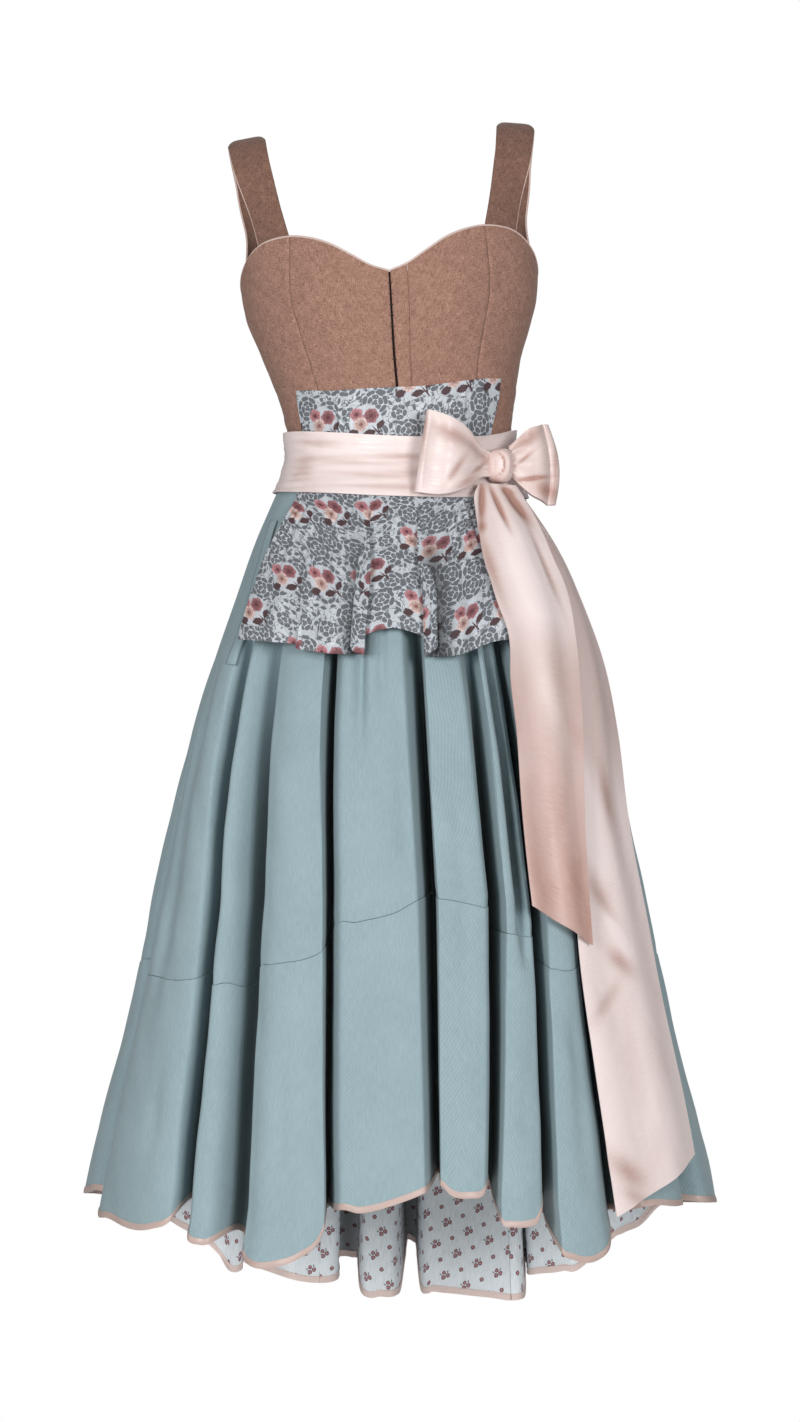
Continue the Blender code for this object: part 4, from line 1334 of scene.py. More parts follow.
@dataclass
class Skirt:
    """Eight gores and their hem bands, the printed facing inside, the satin binding and the pocket welt.

    Attributes:
        wardrobe: the finishes.
        binding: the binding's width.
        seams: the angles between the gores, at the hem.
        levels: the heights where a fold's top, middle and hem places are read.
        growth: how far below its start a fold has its whole depth.
        finest: the length of a step along the hem.
    """

    wardrobe: Wardrobe
    binding: float = 0.0066
    seams: tuple[float, ...] = (-69, -14, 8, 66, 112, 157, 202, 247)
    levels: tuple[float, float, float] = (-0.58, -0.84, -1.15)
    growth: float = 0.42
    finest: float = 0.0021

    def hang(self, turn: Array, height: Array) -> Array:
        """Where the cloth that hangs at a place on the hem passes at a height, since folds fan out.

        Straight lines join each fold's three places. The cloth between two folds keeps its share of the way.
        """
        rows = sorted((f.hem, f.middle, f.top) for f in FOLDS)
        rows.append(tuple(value + FULL_TURN for value in rows[0]))
        hem, middle, top = (np.array(column) for column in zip(*rows))
        turned = (turn - hem[0]) % FULL_TURN + hem[0]
        at_middle = np.interp(turned, hem, middle)
        at_top = np.interp(turned, hem, top)
        high, half, low = self.levels
        raised = np.clip((height - low) / (half - low), 0, 1)
        lifted = np.clip((height - half) / (high - half), 0, 1)
        return turn + (at_middle - turned) * raised + (at_top - at_middle) * lifted

    def surface(self, turn: Array, height: Array) -> Array:
        """The skirt's outer face.

        The oval of the body, less each fold's gap (a bell with its own width and power on each side) and the
        rounding of the ridges beside it, with the gap's floor slipped sideways, less the soft dimples. In
        front the gaps keep their width in metres up the skirt.

        Args:
            turn: place round the hem, in degrees.
            height: metres.

        Returns:
            Points of the face.
        """
        turn, height = np.broadcast_arrays(turn, height)
        deep = np.zeros(turn.shape)
        slip = np.zeros(turn.shape)
        taper = np.clip(BODY.at("half_width", height) / BODY.at("half_width", self.levels[2]), 0.45, 1.0)
        for fold in FOLDS:
            growth = smooth_step(fold.start, fold.start - self.growth, height) ** 0.7
            aside = wrapped(turn - fold.hem) * (taper if abs(fold.hem) < 90 else 1.0)
            width = np.where(aside < 0, fold.left.width, fold.right.width)
            power = np.where(aside < 0, fold.left.power, fold.right.power)
            gap = np.exp(-np.abs(aside / width) ** power)
            fall = fold.left.fall + (fold.right.fall - fold.left.fall) * smooth_step(-1.0, 1.0, aside)
            deep += growth * (fold.depth * gap + fall * np.exp(-((aside / (width + 2.6)) ** 2)))
            slip += (fold.lean + fold.twist * np.clip(aside / width, -1, 1)) * fold.depth * growth * gap
        for place, width, depth, start, stop in DIMPLES:
            along = smooth_step(start, start - 0.12, height) * smooth_step(stop, stop + 0.12, height)
            deep += depth * along * bell(wrapped(turn - place), 0.0, width, width)
        angle = self.hang(turn, height)
        around = np.radians(turn)
        gathers = 0.0011 * smooth_step(-0.60, -0.40, height) * np.sin(around * 61 + 2.0 * np.sin(around * 7))
        gathers *= smooth_step(WAIST, WAIST - 0.02, height) * smooth_step(62, 80, np.abs(wrapped(turn)))
        sway = 0.00128 * ruffle(height * 16 + around * 9, 1.7) * smooth_step(-0.45, -0.7, height)
        radius = body_radius(angle, height) - deep + gathers + sway
        return at_radius(angle + np.degrees(slip / radius), height, radius)

    def places(self, start: float, stop: float) -> Array:
        """Places round the hem from seam to seam, evenly spaced along the cloth low down on the skirt."""
        fine = spread(start, stop, 3001)
        rings = [self.surface(fine, level) for level in (-0.80, -1.12)]
        step = sum(np.linalg.norm(np.diff(ring, axis=0), axis=-1) for ring in rings)
        total = np.concatenate([[0], np.cumsum(step / 2 + 0.4 * self.finest / 8)])
        return np.interp(spread(0, total[-1], int(total[-1] / self.finest / 2.2)), total, fine)

    def grid(self, turn: Array, high: Array | float, low: Array, rows: int, inside: float = 0.0) -> Array:
        """The face between two seams and between two heights.

        Args:
            turn: places round the hem from seam to seam, as one row.
            high: the height of the top row at each place.
            low: the height of the bottom row.
            rows: how many.
            inside: how far behind the face, along its own normal.

        Returns:
            Points.
        """
        start, stop = turn[0, 0], turn[0, -1]
        height = high + (low - high) * down_column(rows)
        aside = np.degrees(SEAM_GAP / 2 / BODY.at("half_width", height))
        place = start + aside + (stop - start - 2 * aside) * (turn - start) / (stop - start)
        points = self.surface(place, height)
        if inside:
            beside, beneath = 0.02, 0.0005
            across = self.surface(place + beside, height) - self.surface(place - beside, height)
            down = self.surface(place, height - beneath) - self.surface(place, height + beneath)
            points = points - unit(np.cross(down, across)) * inside
        return points

    def rolled(self, points: Array) -> Array:
        """A gore whose lower edge is rolled in beside the seam, by how near each point lies to it."""
        length = np.linalg.norm(np.diff(points, axis=0), axis=-1)
        below = np.concatenate([np.cumsum(length[::-1], axis=0)[::-1], np.zeros((1, points.shape[1]))])
        depth, width = 0.0008, 0.003
        return moved_out(points, -depth * np.exp(-((below / width) ** 2)))

    def build_gores(self) -> None:
        """Gores down to the hem seam, and the hem band, its facing and its binding below it."""
        ends = (*self.seams, self.seams[0] + FULL_TURN)
        wear = self.wardrobe
        for number, (start, stop) in enumerate(zip(ends[:-1], ends[1:]), start=1):
            gore, band = f"skirt_gore_{number}", f"skirt_hem_band_{number}"
            turn = self.places(start, stop)[None, :]
            around = wrapped(turn)
            back = smooth_step(105, 125, np.abs(around))
            seam, hem = HEMLINE.at("seam", around), HEMLINE.at("hem", around)
            gap = SEAM_GAP / 3 if 100 < (start + stop) / 2 < 260 else SEAM_GAP

            points = self.rolled(self.grid(turn, WAIST, seam + gap, 42))
            # The gore carries painted shade in its deep folds.
            piece = cloth(f"cloth_{gore}", points, SKIRT_WALL, shade=painted_fold_shade(points))
            wear.dress(piece, wear.teal, Slot.TEAL_WOOL, [gore], "hung", ["sash_band"])

            points = self.grid(turn, seam - gap, hem, 20)
            # The band carries painted shade in its deep folds.
            piece = cloth(f"cloth_{band}", points, SKIRT_WALL, shade=painted_fold_shade(points))
            wear.dress(piece, wear.teal, Slot.TEAL_WOOL, [band], "hung", [gore])

            points = self.grid(turn, seam - 0.010, hem + 0.0052 * back, 20, SKIRT_WALL + 0.0010)
            # Painted shade in the gaps between the lining's columns.
            shade = marks(points[..., 0], points[..., 1], LINING_PAINTED_SHADE)
            piece = cloth(f"cloth_hem_facing_{number}", points, FACING_WALL, shade=shade)
            wear.dress(piece, wear.print_cotton, Slot.PRINT_COTTON, [f"hem_facing_{number}"], "hung", [band])

            high, low = hem + self.binding / 2 + 0.0038 * back, hem - self.binding / 2 + 0.0014 * back
            bulge = 0.0005 + 0.0004 * np.sin(down_column(7, 0, math.pi))
            points = moved_out(self.grid(turn, high, low, 7), bulge)
            # Painted shade on the binding's front part; the back keeps the pale colour, painted light for its
            # place in shade.
            shade = 0.40 * smooth_step(0.10, -0.05, points[..., 1])
            piece = cloth(f"satin_hem_binding_{number}", points, 0.0052, shade=shade)
            wear.dress(piece, wear.binding_satin, Slot.PINK_SATIN, [f"hem_binding_{number}"])

    def build_welt(self) -> None:
        """The pocket welt: a strip on the first fold, its edges pressed down, with a painted shadow line
        round it.
        """
        top, foot, slant, width = -0.4365, -0.5945, 0.002, 0.010
        share = across_row(24)
        height = down_column(120, top, foot) - slant * share
        outer, inner = WELT.at("outer", height), WELT.at("inner", height)
        aside = np.minimum(share, 1 - share) * width
        edge = np.minimum(aside, np.minimum(top - height, height - foot + slant))
        line = smooth_step(0.0014, 0.0004, edge)
        points = moved_out(self.surface(outer + (inner - outer) * share, height), 0.0022 - 0.0004 * line)
        # The pressed-down line round the edge also carries painted shadow.
        piece = cloth("cloth_pocket_welt", points, 0.0013, shade=0.8 * line)
        self.wardrobe.dress(
            piece, self.wardrobe.teal, Slot.TEAL_WOOL, ["pocket_welt"], "stretched", ["skirt_gore_1"]
        )

    def build(self) -> None:
        """Every piece of the skirt."""
        self.build_gores()
        self.build_welt()


# ---------------------------------------------------------------- apron


@dataclass(frozen=True)
class Pleat:
    """A knife pleat: the cloth doubles back under itself.

    Attributes:
        place: its middle, as a share of the way across the apron.
        half: half the cloth that it takes, as a share.
        overlap: how far each layer slips over the other, in metres.
        depth: how far the left layer stands before the right one, halved, in metres.
        start: the height where it opens out of the waist.
    """

    place: float
    half: float
    overlap: float
    depth: float
    start: float = -0.395


PLEATS = (
    Pleat(0.372, 0.034, 0.018, 0.0050),
    Pleat(0.580, 0.032, 0.017, -0.0050),
    Pleat(0.200, 0.022, 0.011, -0.0028, -0.50),
    Pleat(0.880, 0.022, 0.011, 0.0030, -0.47),
)

# Soft troughs between the pleats: place and width as shares of the way across, depth, and the height
# where they begin.
TROUGHS = (
    (0.07, 0.020, 0.0035, -0.40), (0.15, 0.030, 0.0050, -0.42), (0.24, 0.025, 0.0040, -0.40),
    (0.322, 0.014, 0.0240, -0.42), (0.48, 0.024, 0.0030, -0.42), (0.628, 0.013, 0.0230, -0.44),
    (0.700, 0.020, 0.0050, -0.42), (0.75, 0.030, 0.0045, -0.40), (0.84, 0.022, 0.0055, -0.43),
    (0.93, 0.022, 0.0040, -0.40),
)

APRON_SIDES = Table(
    ("height", "right_side", "left_side"),
    [
        (-0.640, -51, 52), (-0.568, -52.5, 54), (-0.515, -54.5, 56.5), (-0.473, -58, 58),
        (-0.410, -59.5, 60), (-0.337, -66, 62), (-0.313, -65.5, 64.5), (-0.285, -62, 65),
    ],
)

APRON_HEM = Table(
    ("place", "height"),
    [
        (0.00, -0.5684), (0.15, -0.5735), (0.32, -0.5856), (0.375, -0.5840), (0.395, -0.5780),
        (0.430, -0.5640), (0.515, -0.5630), (0.548, -0.5740), (0.572, -0.5815), (0.790, -0.5705),
        (1.00, -0.5690),
    ],
)


@dataclass
class Apron:
    """The jacquard apron: a fitted part above the sash and a pleated skirt below it.

    Attributes:
        wardrobe: the finishes.
        top: the height of the upper edge's middle.
        sash_foot: the height of the sash's lower edge in front.
        rise: how far the outer face stands over the body.
    """

    wardrobe: Wardrobe
    top: float = -0.296
    sash_foot: float = -0.416
    rise: float = LAYER_GAP + APRON_WALL

    def angles(self, share: Array, height: Array) -> Array:
        """Degrees round the body at a share of the way across."""
        start, stop = APRON_SIDES.at("right_side", height), APRON_SIDES.at("left_side", height)
        return start + (stop - start) * share

    def build_upper(self) -> None:
        """The upper part, fitted with four tucks."""
        share = across_row(120)
        top = self.top + 0.0045 * smooth_step(0.20, 0.0, share) + 0.0085 * smooth_step(0.58, 1.0, share)
        height = top + (WAIST + SEAM_GAP / 2 - top) * down_column(40)
        tucks = sum(bell(share, place, 0.004, 0.012) for place in (0.20, 0.33, 0.66, 0.82))
        rise = self.rise + 0.0014 * tucks + 0.0005 * ruffle(share * 40 + height * 30, 0.4)
        points = on_bust(self.angles(share, height), height, rise)
        flat_shift = (0, 0.0576)
        piece = cloth("cloth_apron_upper", points, APRON_WALL, flat_map(points) + flat_shift)
        wear = self.wardrobe
        wear.dress(piece, wear.jacquard, Slot.JACQUARD, ["apron_upper"], "stretched", ["sash_band"])

    def build_skirt(self) -> None:
        """The skirt part: knife pleats that slip sideways, soft troughs, a flare below the sash."""
        share = across_row(280)
        foot = APRON_HEM.at("height", share)
        top = WAIST - SEAM_GAP / 2
        height = top + (foot - top) * down_column(80)
        deep = np.zeros(height.shape)
        slip = np.zeros(height.shape)
        for pleat in PLEATS:
            opened = smooth_step(pleat.start, pleat.start - 0.10, height)
            across = (share - pleat.place) / pleat.half
            slip -= pleat.overlap * opened * across * np.exp(0.5 * (1 - across**2))
            deep += pleat.depth * opened * across * np.exp(0.5 * (1 - (across / 1.8) ** 2)) / 1.5
        for place, width, depth, begin in TROUGHS:
            opened = smooth_step(begin, begin - 0.14, height)
            deep += depth * opened * bell(share, place, width, width * 1.3)
        free = smooth_step(self.sash_foot + 0.006, self.sash_foot - 0.020, height)
        puckers = 0.0010 * np.sin(share * 190 + 3 * np.sin(share * 23)) * free
        puckers *= smooth_step(self.sash_foot - 0.10, self.sash_foot - 0.03, height)
        flare = 0.0200 * smooth_step(self.sash_foot + 0.006, self.sash_foot - 0.135, height) + 0.0022 * free
        inward = np.minimum(deep * 0.8 * free, flare * 0.85)
        turned_up = smooth_step(0.0130, 0.0110, height - foot) * smooth_step(0.12, 0.17, share)
        turned_up *= smooth_step(0.37, 0.33, share)
        angle = self.angles(share, height)
        radius = body_radius(angle, height) + self.rise + flare - inward + puckers - 0.0022 * turned_up
        points = at_radius(angle + np.degrees(slip / radius), height, radius)
        # Painted shade in the two deep troughs, below the sash.
        low = smooth_step(-0.44, -0.50, height)
        shade = low * sum(bell(share, place, 0.016, 0.020) for place in (0.322, 0.636))
        piece = cloth("cloth_apron_skirt", points, APRON_WALL, shade=shade)
        wear = self.wardrobe
        wear.dress(piece, wear.jacquard, Slot.JACQUARD, ["apron_skirt"], "gathered", ["sash_band"])

    def build(self) -> None:
        """Both parts of the apron."""
        self.build_upper()
        self.build_skirt()


# ---------------------------------------------------------------- sash


SHORT_TAIL = Table(
    ("height", "start", "stop", "standoff"),
    [
        (-0.4004, 39, 59, 0.0235), (-0.410, 35, 59.2, 0.0250), (-0.431, 31.7, 59, 0.0280),
        (-0.4585, 30.1, 58.3, 0.0300), (-0.480, 29.4, 58, 0.0310), (-0.507, 30.1, 59, 0.0310),
        (-0.528, 30.6, 58.3, 0.0310), (-0.560, 32.3, 56.5, 0.0290), (-0.613, 30.6, 52.8, 0.0270),
        (-0.665, 30.4, 50.2, 0.0240), (-0.738, 29.5, 46.7, 0.0210), (-0.845, 29.8, 44.3, 0.0170),
        (-0.890, 30.2, 43.7, 0.0160),
    ],
)

LONG_TAIL = Table(
    ("height", "start", "stop", "standoff"),
    [
        (-0.4004, 52, 61, 0.0175), (-0.430, 54, 69, 0.015), (-0.500, 54, 79, 0.018),
        (-0.570, 52, 77, 0.020), (-0.665, 47, 72, 0.014), (-0.740, 45, 68.0, 0.008),
        (-0.890, 41.5, 67.2, 0.005), (-1.000, 41.5, 67.6, 0.005), (-1.163, 41.8, 66, 0.005),
    ],
)

FRONT_LOOP = Table(
    ("across", "standoff", "puff", "top", "bottom"),
    [
        (0.0275, 0.0060, 0.012, -0.3240, -0.4120), (0.0400, 0.0050, 0.018, -0.3275, -0.4140),
        (0.0538, 0.0050, 0.022, -0.3325, -0.4130), (0.0700, 0.0050, 0.021, -0.3415, -0.4070),
        (0.0800, 0.0060, 0.018, -0.3515, -0.4000), (0.0870, 0.0065, 0.014, -0.3600, -0.3945),
        (0.0990, 0.0070, 0.010, -0.3670, -0.3920),
    ],
)

SIDE_LOOP = Table(
    ("across", "back", "puff", "top", "bottom"),
    [
        (0.1180, -0.0740, 0.010, -0.3600, -0.3890), (0.1280, -0.0690, 0.014, -0.3495, -0.3990),
        (0.1415, -0.0620, 0.020, -0.3390, -0.4110), (0.1530, -0.0560, 0.020, -0.3355, -0.4175),
        (0.1575, -0.0530, 0.016, -0.3335, -0.4210),
    ],
)

# Marks of painted shade, and of painted highlight where the depth is below 0: across, up, length, width, turn
# in degrees, and depth of the painted shade. They are in metres, but in degrees round the body and shares of
# the height on the band.
FRONT_LOOP_PAINTED_SHADE = (
    (0.0560, -0.3520, 0.0230, 0.0110, -22, 0.30), (0.0460, -0.3440, 0.0260, 0.0050, -24, 0.14),
    (0.0600, -0.3880, 0.0180, 0.0036, 56, 0.40), (0.0720, -0.4000, 0.0150, 0.0040, 34, 0.36),
    (0.0262, -0.3450, 0.0300, 0.0028, 86, 0.30), (0.0900, -0.3730, 0.0100, 0.0050, -30, 0.30),
    (0.0850, -0.3840, 0.0100, 0.0022, 42, 0.45),
)

SIDE_LOOP_PAINTED_SHADE = (
    (0.1395, -0.3505, 0.0170, 0.0065, 36, 0.34), (0.1350, -0.3715, 0.0150, 0.0018, 40, 0.38),
    (0.1430, -0.3935, 0.0180, 0.0022, 9, 0.62), (0.1590, -0.4060, 0.0150, 0.0090, -24, 0.40),
    (0.1690, -0.3760, 0.0240, 0.0030, 88, 0.25),
)

SHORT_TAIL_PAINTED_LIGHT_AND_SHADE = (
    (0.0886, -0.4200, 0.0250, 0.0040, 88, 0.80), (0.0893, -0.4490, 0.0060, 0.0040, 60, 0.35),
    (0.1068, -0.4250, 0.0260, 0.0032, -67, 0.75), (0.1260, -0.4220, 0.0210, 0.0050, -54, 1.00),
    (0.1180, -0.4080, 0.0060, 0.0030, -10, 0.60), (0.0951, -0.4880, 0.0450, 0.0070, -72, 0.40),
    (0.1560, -0.4900, 0.0400, 0.0035, -68, 0.35), (0.1380, -0.4950, 0.0420, 0.0130, -72, -0.34),
    (0.1550, -0.6230, 0.0380, 0.0120, -76, -0.24),
)

LONG_TAIL_PAINTED_LIGHT_AND_SHADE = (
    (0.1990, -0.7500, 0.0500, 0.0090, -80, -0.28), (0.2224, -0.7400, 0.0380, 0.0065, -78, 0.34),
    (0.2110, -0.8400, 0.0300, 0.0085, -62, 0.34), (0.2330, -0.9080, 0.0200, 0.0080, -42, 0.36),
    (0.2160, -0.9480, 0.0230, 0.0070, 52, 0.24), (0.2260, -0.8750, 0.0260, 0.0050, -58, -0.25),
    (0.2370, -1.1200, 0.0260, 0.0100, -42, 0.36), (0.2480, -1.1480, 0.0200, 0.0060, -30, 0.25),
)

BAND_PAINTED_SHADE = (
    (-52, 0.18, 16, 0.06, 0, 0.26), (-38, 0.46, 26, 0.06, 0, 0.22), (-18, 0.66, 26, 0.05, 0, 0.24),
    (8, 0.34, 24, 0.06, 0, 0.30), (24, 0.58, 18, 0.10, 0, 0.40), (2, 0.86, 40, 0.05, 0, 0.22),
    (-62, 0.62, 8, 0.20, 0, 0.22), (70, 0.40, 26, 0.12, 0, 0.25), (150, 0.50, 50, 0.10, 0, 0.22),
    (-130, 0.35, 40, 0.10, 0, 0.22),
)

# The band's creases: place and half length in degrees, level, slope and half width as shares, and height.
CREASES = (
    (-45, 26, 0.22, 0.05, 0.035, 0.0011), (-20, 40, 0.40, -0.06, 0.030, 0.0009),
    (5, 30, 0.63, 0.03, 0.030, 0.0010), (-55, 18, 0.50, -0.10, 0.030, 0.0010),
    (-60, 12, 0.76, 0.12, 0.035, 0.0010), (-30, 22, 0.80, -0.04, 0.028, 0.0008),
    (15, 20, 0.30, -0.08, 0.030, 0.0009), (60, 22, 0.55, 0.06, 0.035, 0.0010),
    (95, 40, 0.30, -0.05, 0.035, 0.0010), (120, 36, 0.66, 0.06, 0.035, 0.0010),
    (160, 44, 0.42, 0.04, 0.035, 0.0010), (-160, 38, 0.70, -0.06, 0.035, 0.0010),
    (-120, 42, 0.34, 0.05, 0.035, 0.0010), (-95, 26, 0.60, -0.08, 0.035, 0.0010),
)


@dataclass
class Sash:
    """The satin sash: the band, two loops, the knot and two tails of a bow at the wearer's left front.

    Attributes:
        wardrobe: the finishes.
        top_side: the height of the band's upper edge at the sides.
        dip: how much lower it runs in front.
        height: the band's height.
        standoff: how far it stands over the apron.
        knot_centre, knot_size: the knot's middle and its half extents.
        tails_top: the height where both tails start.
    """

    wardrobe: Wardrobe
    top_side: float = -0.336
    dip: float = 0.014
    height: float = 0.066
    standoff: float = 0.0038
    knot_centre: tuple[float, float, float] = (0.108, -0.083, -0.380)
    knot_size: tuple[float, float, float] = (0.0140, 0.0120, 0.0185)
    tails_top: float = -0.4004

    @property
    def rise(self) -> float:
        """How far the band's face stands over the body."""
        return 2 * LAYER_GAP + APRON_WALL + self.standoff

    def build_band(self) -> None:
        """The band: an oval ring that dips in front, with long low creases along it."""
        angle = across_row(321, 0, FULL_TURN) - 180
        share = down_column(38)
        dip = self.dip * (1 + np.cos(np.radians(angle))) / 2
        height = self.top_side - dip - self.height * share + 0.0065 * bell(wrapped(angle + 75), 0, 55, 60)
        height = height + 0.0090 * bell(angle, 84, 20, 50) * smooth_step(0.6, 0.0, share)
        lift = np.zeros(height.shape)
        for place, length, level, slope, width, size in CREASES:
            aside = wrapped(angle - place) / length
            line = level + slope * aside
            lift += size * np.exp(-(aside**2)) * np.exp(-(((share - line) / width) ** 2))
        lift += 0.0007 * ruffle(share * 14 + np.radians(angle) * 1.5, 1.1)
        lift += 0.0011 * bell(angle, -62, 9, 7) * np.sin(share * 44 + 2 * np.sin(share * 9))
        lift -= 0.0006 * np.exp(-(((share - 0.93) / 0.012) ** 2))
        points = at_radius(angle, height, body_radius(angle, height) + self.rise + lift)
        # Painted shade in patches along the band.
        shade = marks(angle + 0 * share, share + 0 * angle, BAND_PAINTED_SHADE)
        piece = cloth("satin_sash_band", points, SASH_WALL, ring=True, shade=shade)
        wear = self.wardrobe
        wear.dress(piece, wear.satin, Slot.PINK_SATIN, ["sash_band"], "stretched", ["cloth_apron_upper"])

    def front(self, across: Array, height: Array) -> Array:
        """How far forward the band lies at a place across the body: an ellipse through the band."""
        half_width = BODY.at("half_width", height) + self.rise
        return -(BODY.at("front", height) + self.rise) * np.sqrt(1 - (across / half_width) ** 2)

    def loop(
        self, column: dict[str, Array], far_first: bool, slant: float, bulge: float, seed: float
    ) -> Array:
        """A strip that goes out along the back line, turns at the far end and comes back in front.

        In plan it is two lines joined by a half circle. Its height runs from top to bottom at each place, the
        front layer bellies out, and creases fan out of the knot.

        Args:
            column: "across", places across the body, rising; "back", how far forward the back layer lies at
                each; "puff", how far the front layer stands before it; "top" and "bottom", its heights.
            far_first: whether the far end is the first place.
            slant: how far the far end's lower corner lies beyond its upper corner.
            bulge: how far the far end bows out between its corners.
            seed: lays the creases.

        Returns:
            Points of the outer face.
        """
        across, back, puff = column["across"], column["back"], column["puff"]
        rounding = 15
        turn = spread(0, math.pi, rounding + 2)[1:-1]
        end, near, outward = (0, -1, -1) if far_first else (-1, 0, 1)
        order = slice(None, None, -1) if far_first else slice(None)

        def there_and_back(first: Array, at_end: Array, second: Array) -> Array:
            """Values along the first line, round the far end and along the second line."""
            return np.concatenate([first[order], at_end + 0 * turn, second[order][::-1]])

        radius = puff[end] / 2
        plan = there_and_back(across, across[end] + outward * radius * np.sin(turn), across)
        depth = there_and_back(back, back[end] - radius + radius * np.cos(turn), back - puff)
        high, low = (there_and_back(edge, edge[end], edge) for edge in (column["top"], column["bottom"]))
        front = np.concatenate([0 * across, spread(0, 1, rounding), 0 * across + 1])
        out = np.clip((plan - across[near]) / (across[end] - across[near]), 0, 1.2)
        share = down_column(40)
        plan = plan + outward * (slant * (share - 0.5) + bulge * np.sin(math.pi * share)) * out**2
        belly = 0.0035 * np.sin(math.pi * share) ** 0.8 * np.sin(math.pi * np.clip(out, 0, 1)) ** 0.5
        fan = 0.0022 * np.exp(-out * 2.2) * np.sin(share * 21 + seed)
        fan = fan + 0.0013 * np.exp(-out * 0.8) * np.sin(share * 12 + out * 5 + seed * 2)
        depth = depth - (belly + fan) * front
        return np.stack([plan, depth, high + (low - high) * share], axis=-1)

    def build_loops(self) -> None:
        """The loop in front of the knot and the one at the side."""
        column = FRONT_LOOP.all_at(spread(0.0275, 0.0990, 60))
        across = column["across"]
        line = np.minimum(self.front(across, column["top"]), self.front(across, column["bottom"]))
        column["back"] = line - column["standoff"]
        points = self.loop(column, True, 0.011, 0.0, 0.6)
        in_front = np.arange(points.shape[1]) > 75
        self.finish_loop("satin_loop_front", points, FRONT_LOOP_PAINTED_SHADE, "bow_loop_front", in_front, 0.06)
        column = SIDE_LOOP.all_at(spread(0.1180, 0.1575, 40))
        points = self.loop(column, False, 0.0054, 0.0055, 2.4)[:, ::-1]
        in_front = np.arange(points.shape[1]) < 40
        self.finish_loop("satin_loop_side", points, SIDE_LOOP_PAINTED_SHADE, "bow_loop_side", in_front, 0.17)

    def finish_loop(
        self, name: str, points: Array, tones: Marks, node: str, in_front: Array, base: float
    ) -> None:
        """Dips the front layer where the painted shade is deep, and dresses the loop.

        Args:
            name: the piece's name.
            points: its outer face.
            tones: the marks of painted shade.
            node: the CAD node it stands for.
            in_front: which columns belong to the front layer.
            base: painted shade over the whole loop.
        """
        # Painted shade: the marks on top of an even base.
        tone = marks(points[..., 0], points[..., 2], tones)
        points = points.copy()
        points[..., 1] += 0.0032 * np.maximum(tone, 0) * in_front
        piece = cloth(name, points, SASH_WALL, shade=base + tone)
        wear = self.wardrobe
        wear.dress(piece, wear.satin, Slot.PINK_SATIN, [node], "folded", ["satin_sash_band"])

    def build_knot(self) -> None:
        """The knot: a rounded block with a wrap that lies over it like a crescent.

        A superellipsoid: sine and cosine of two angles raised to a power below 1. Seen from the front, the
        wrap and the folds beside it are bumps along circles round a place left of the middle.
        """
        pole = 0.02
        tall = down_column(64, pole, math.pi - pole)
        turn = across_row(91, 0, 2 * math.pi)

        def rounded(value: Array) -> Array:
            """The value's power with its sign kept."""
            return np.sign(value) * np.abs(value) ** 0.62

        (x, y, z), (wide, thick, high) = self.knot_centre, self.knot_size
        across = wide * rounded(np.sin(tall)) * rounded(np.sin(turn))
        up = high * rounded(np.cos(tall)) + 0 * across
        ring = np.hypot(across + 0.0105, up - 0.0010)
        wrap = 0.0032 * bell(ring, 0.0205, 0.0045, 0.0050) + 0.0012 * bell(ring, 0.0112, 0.0016, 0.0016)
        wrap -= 0.0014 * bell(ring, 0.0150, 0.0011, 0.0011)
        wrap *= smooth_step(-0.006, 0.004, across) * smooth_step(-0.1, 0.4, np.cos(turn))
        forward = y - thick * rounded(np.sin(tall)) * rounded(np.cos(turn)) - wrap
        # Painted shade: darker along the wrap, towards the knot's left and in the groove inside the wrap.
        tone = 0.30 * bell(ring, 0.0205, 0.0050, 0.0080) + 0.30 * smooth_step(0.004, -0.008, across)
        tone += 0.55 * bell(ring, 0.0150, 0.0010, 0.0010) * smooth_step(-0.006, 0.003, across)
        points = np.stack([x + across, forward, z + up], axis=-1)
        piece = cloth("satin_knot", points, SASH_WALL, ring=True, shade=tone)
        self.wardrobe.dress(piece, self.wardrobe.satin, Slot.PINK_SATIN, ["bow_knot"])

    def tail(
        self, table: Table, ends: tuple[float, float], tones: Marks, size: tuple[int, int], seed: float
    ) -> tuple[Array, Array]:
        """A band that hangs over the skirt, gathered at the knot and cut aslant at its end.

        Each row runs between two angles at the table's distance from the body. Two soft ridges run down it
        and wander, and it dips where its painted shade is deep.

        Args:
            table: start and stop angles and standoff at each height.
            ends: the heights of the end's two corners.
            tones: the marks of painted shade and painted highlight.
            size: points down it and across it.
            seed: lays the ridges.

        Returns:
            Points of the outer face, and the painted shade at each.
        """
        rows, columns = size
        share = across_row(columns)
        top = self.tails_top
        foot = ends[0] + (ends[1] - ends[0]) * share
        height = top + (foot - top) * down_column(rows)
        start, stop = table.at("start", height), table.at("stop", height)
        angle = start + (stop - start) * share
        opened = smooth_step(top, top - 0.06, height)
        wander = 0.7 * np.sin(height * 9 + seed)
        wave = 0.0034 * (1 + np.cos(2 * math.pi * 1.7 * share + wander)) / 2
        small = 0.0001 * ruffle(share * 9 + height * 7, seed)
        radius = body_radius(angle, height) + table.at("standoff", height) + (wave + small) * opened
        flat = at_radius(angle, height, radius)
        # Painted shade from the marks, and painted highlight where they are below 0.
        tone = marks(flat[..., 0], flat[..., 2], tones)
        return at_radius(angle, height, radius - 0.0042 * np.maximum(tone, 0)), tone

    def build_tails(self) -> None:
        """The short tail in front and the long one behind it."""
        wear = self.wardrobe
        points, tone = self.tail(SHORT_TAIL, (-0.845, -0.888), SHORT_TAIL_PAINTED_LIGHT_AND_SHADE, (170, 80), 0.4)
        height = points[..., 2]
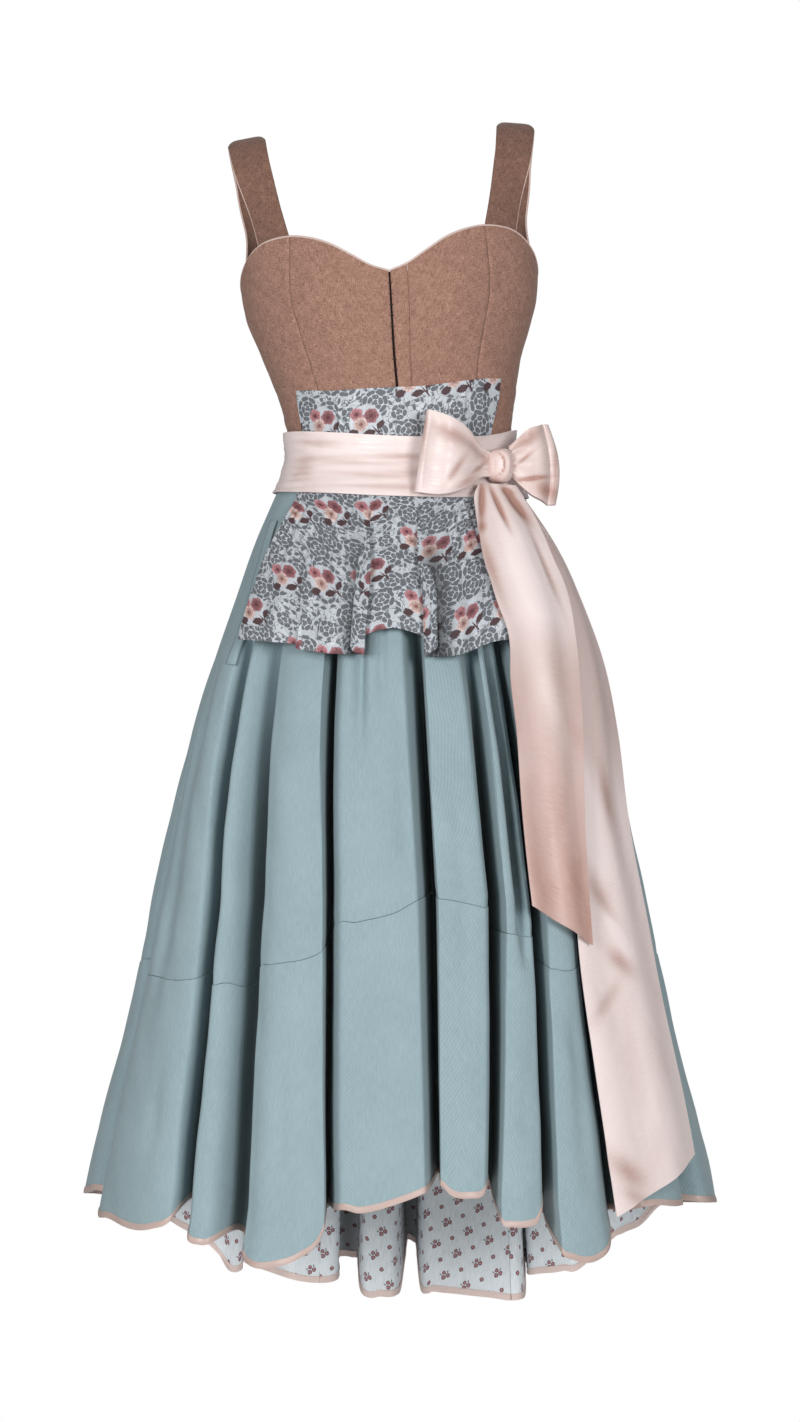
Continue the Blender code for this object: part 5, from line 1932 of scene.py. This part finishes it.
        # Painted shade: the short tail is darker lower down.
        lower = 0.30 * smooth_step(-0.530, -0.620, height) + 0.14 * smooth_step(-0.68, -0.84, height)
        shade = tone + 0.04 + lower
        piece = cloth("satin_tail_short", points, SASH_WALL, shade=shade)
        wear.dress(piece, wear.satin, Slot.PINK_SATIN, ["tail_short"], "hung", ["satin_knot"])
        points, tone = self.tail(LONG_TAIL, (-1.163, -1.116), LONG_TAIL_PAINTED_LIGHT_AND_SHADE, (220, 72), 1.9)
        # Painted shade on the long tail's upper part, in the short tail's shade.
        shade = tone + 0.02 + 0.20 * smooth_step(-0.760, -0.660, points[..., 2])
        piece = cloth("satin_tail_long", points, SASH_WALL, shade=shade)
        wear.dress(piece, wear.satin, Slot.PINK_SATIN, ["tail_long"], "hung", ["satin_knot"])

    def build(self) -> None:
        """Every piece of the sash."""
        self.build_band()
        self.build_loops()
        self.build_knot()
        self.build_tails()


# ---------------------------------------------------------------- studio


@dataclass
class Studio:
    """A pale floor, a white room, soft lights and the camera.

    Attributes:
        eye: where the camera stands.
        lens: its focal length in millimetres.
        floor: the floor's height.
    """

    eye: tuple[float, float, float] = (0.0, -3.2, -0.645)
    lens: float = 73.0
    floor: float = -1.75

    def build_floor(self) -> None:
        """A pale round floor."""
        radius, corners = 1.25, 64
        turn = spread(0, 2 * math.pi, corners + 1)[:-1]
        rim = np.stack([radius * np.cos(turn), radius * np.sin(turn), self.floor + 0 * turn], axis=-1)
        mesh = bpy.data.meshes.new("floor")
        mesh.from_pydata(rim.tolist(), [], [list(range(corners))])
        floor = placed("floor", mesh)
        pale = Pattern("pale_floor", 0.9)
        grain = pale.noise(pale.place(kind="Object"), 6.0)
        mesh.materials.append(pale.finish(pale.mix(grain, (0.86, 0.86, 0.86), (0.90, 0.90, 0.90))))

    def build_room(self) -> None:
        """White light from all round: full for the camera, a quarter of it on what stands there."""
        world = bpy.data.worlds.new("room")
        bpy.context.scene.world = world
        world.use_nodes = True
        tree = world.node_tree
        ground = tree.nodes["Background"]
        ground.inputs["Color"].default_value = (1, 1, 1, 1)
        seen = tree.nodes.new("ShaderNodeLightPath")
        level = tree.nodes.new("ShaderNodeMapRange")
        level.inputs["To Min"].default_value = 0.25
        level.inputs["To Max"].default_value = 1.0
        tree.links.new(seen.outputs["Is Camera Ray"], level.inputs["Value"])
        tree.links.new(level.outputs[0], ground.inputs["Strength"])

    def build_camera(self) -> None:
        """The camera, level and facing the front."""
        data = bpy.data.cameras.new("camera")
        data.lens = self.lens
        data.sensor_width = 36.0
        camera = placed("camera", data)
        camera.location = self.eye
        camera.rotation_euler = (math.pi / 2, 0, 0)
        bpy.context.scene.camera = camera
        bpy.context.scene.view_settings.view_transform = "Standard"

    def build(self) -> None:
        """The floor, the room's light, three soft lamps and the camera."""
        self.build_floor()
        self.build_room()
        self.lamp("key", (1.3, -3.3, -0.2), (0.0, 0.0, -0.65), 0.9, 62.0)
        self.lamp("fill", (-1.6, -3.2, -0.3), (0.0, 0.0, -0.7), 1.0, 66.0)
        self.lamp("back", (0.4, 2.6, 0.9), (0.0, 0.0, -0.6), 1.5, 22.0)
        self.build_camera()

    def lamp(
        self, name: str, place: Sequence[float], target: Sequence[float], size: float, power: float
    ) -> None:
        """A square soft light that faces a point."""
        data = bpy.data.lights.new(name, "AREA")
        data.size = size
        data.energy = power
        lamp = placed(name, data)
        lamp.location = place
        lamp.rotation_euler = (Vector(target) - Vector(place)).to_track_quat("-Z", "Y").to_euler()


def main() -> None:
    """Builds and dresses every piece."""
    logging.basicConfig(level=logging.INFO, format="%(message)s")
    wardrobe = Wardrobe()
    Bodice(wardrobe).build()
    Skirt(wardrobe).build()
    Apron(wardrobe).build()
    Sash(wardrobe).build()
    Studio().build()


if __name__ == "__main__":
    main()
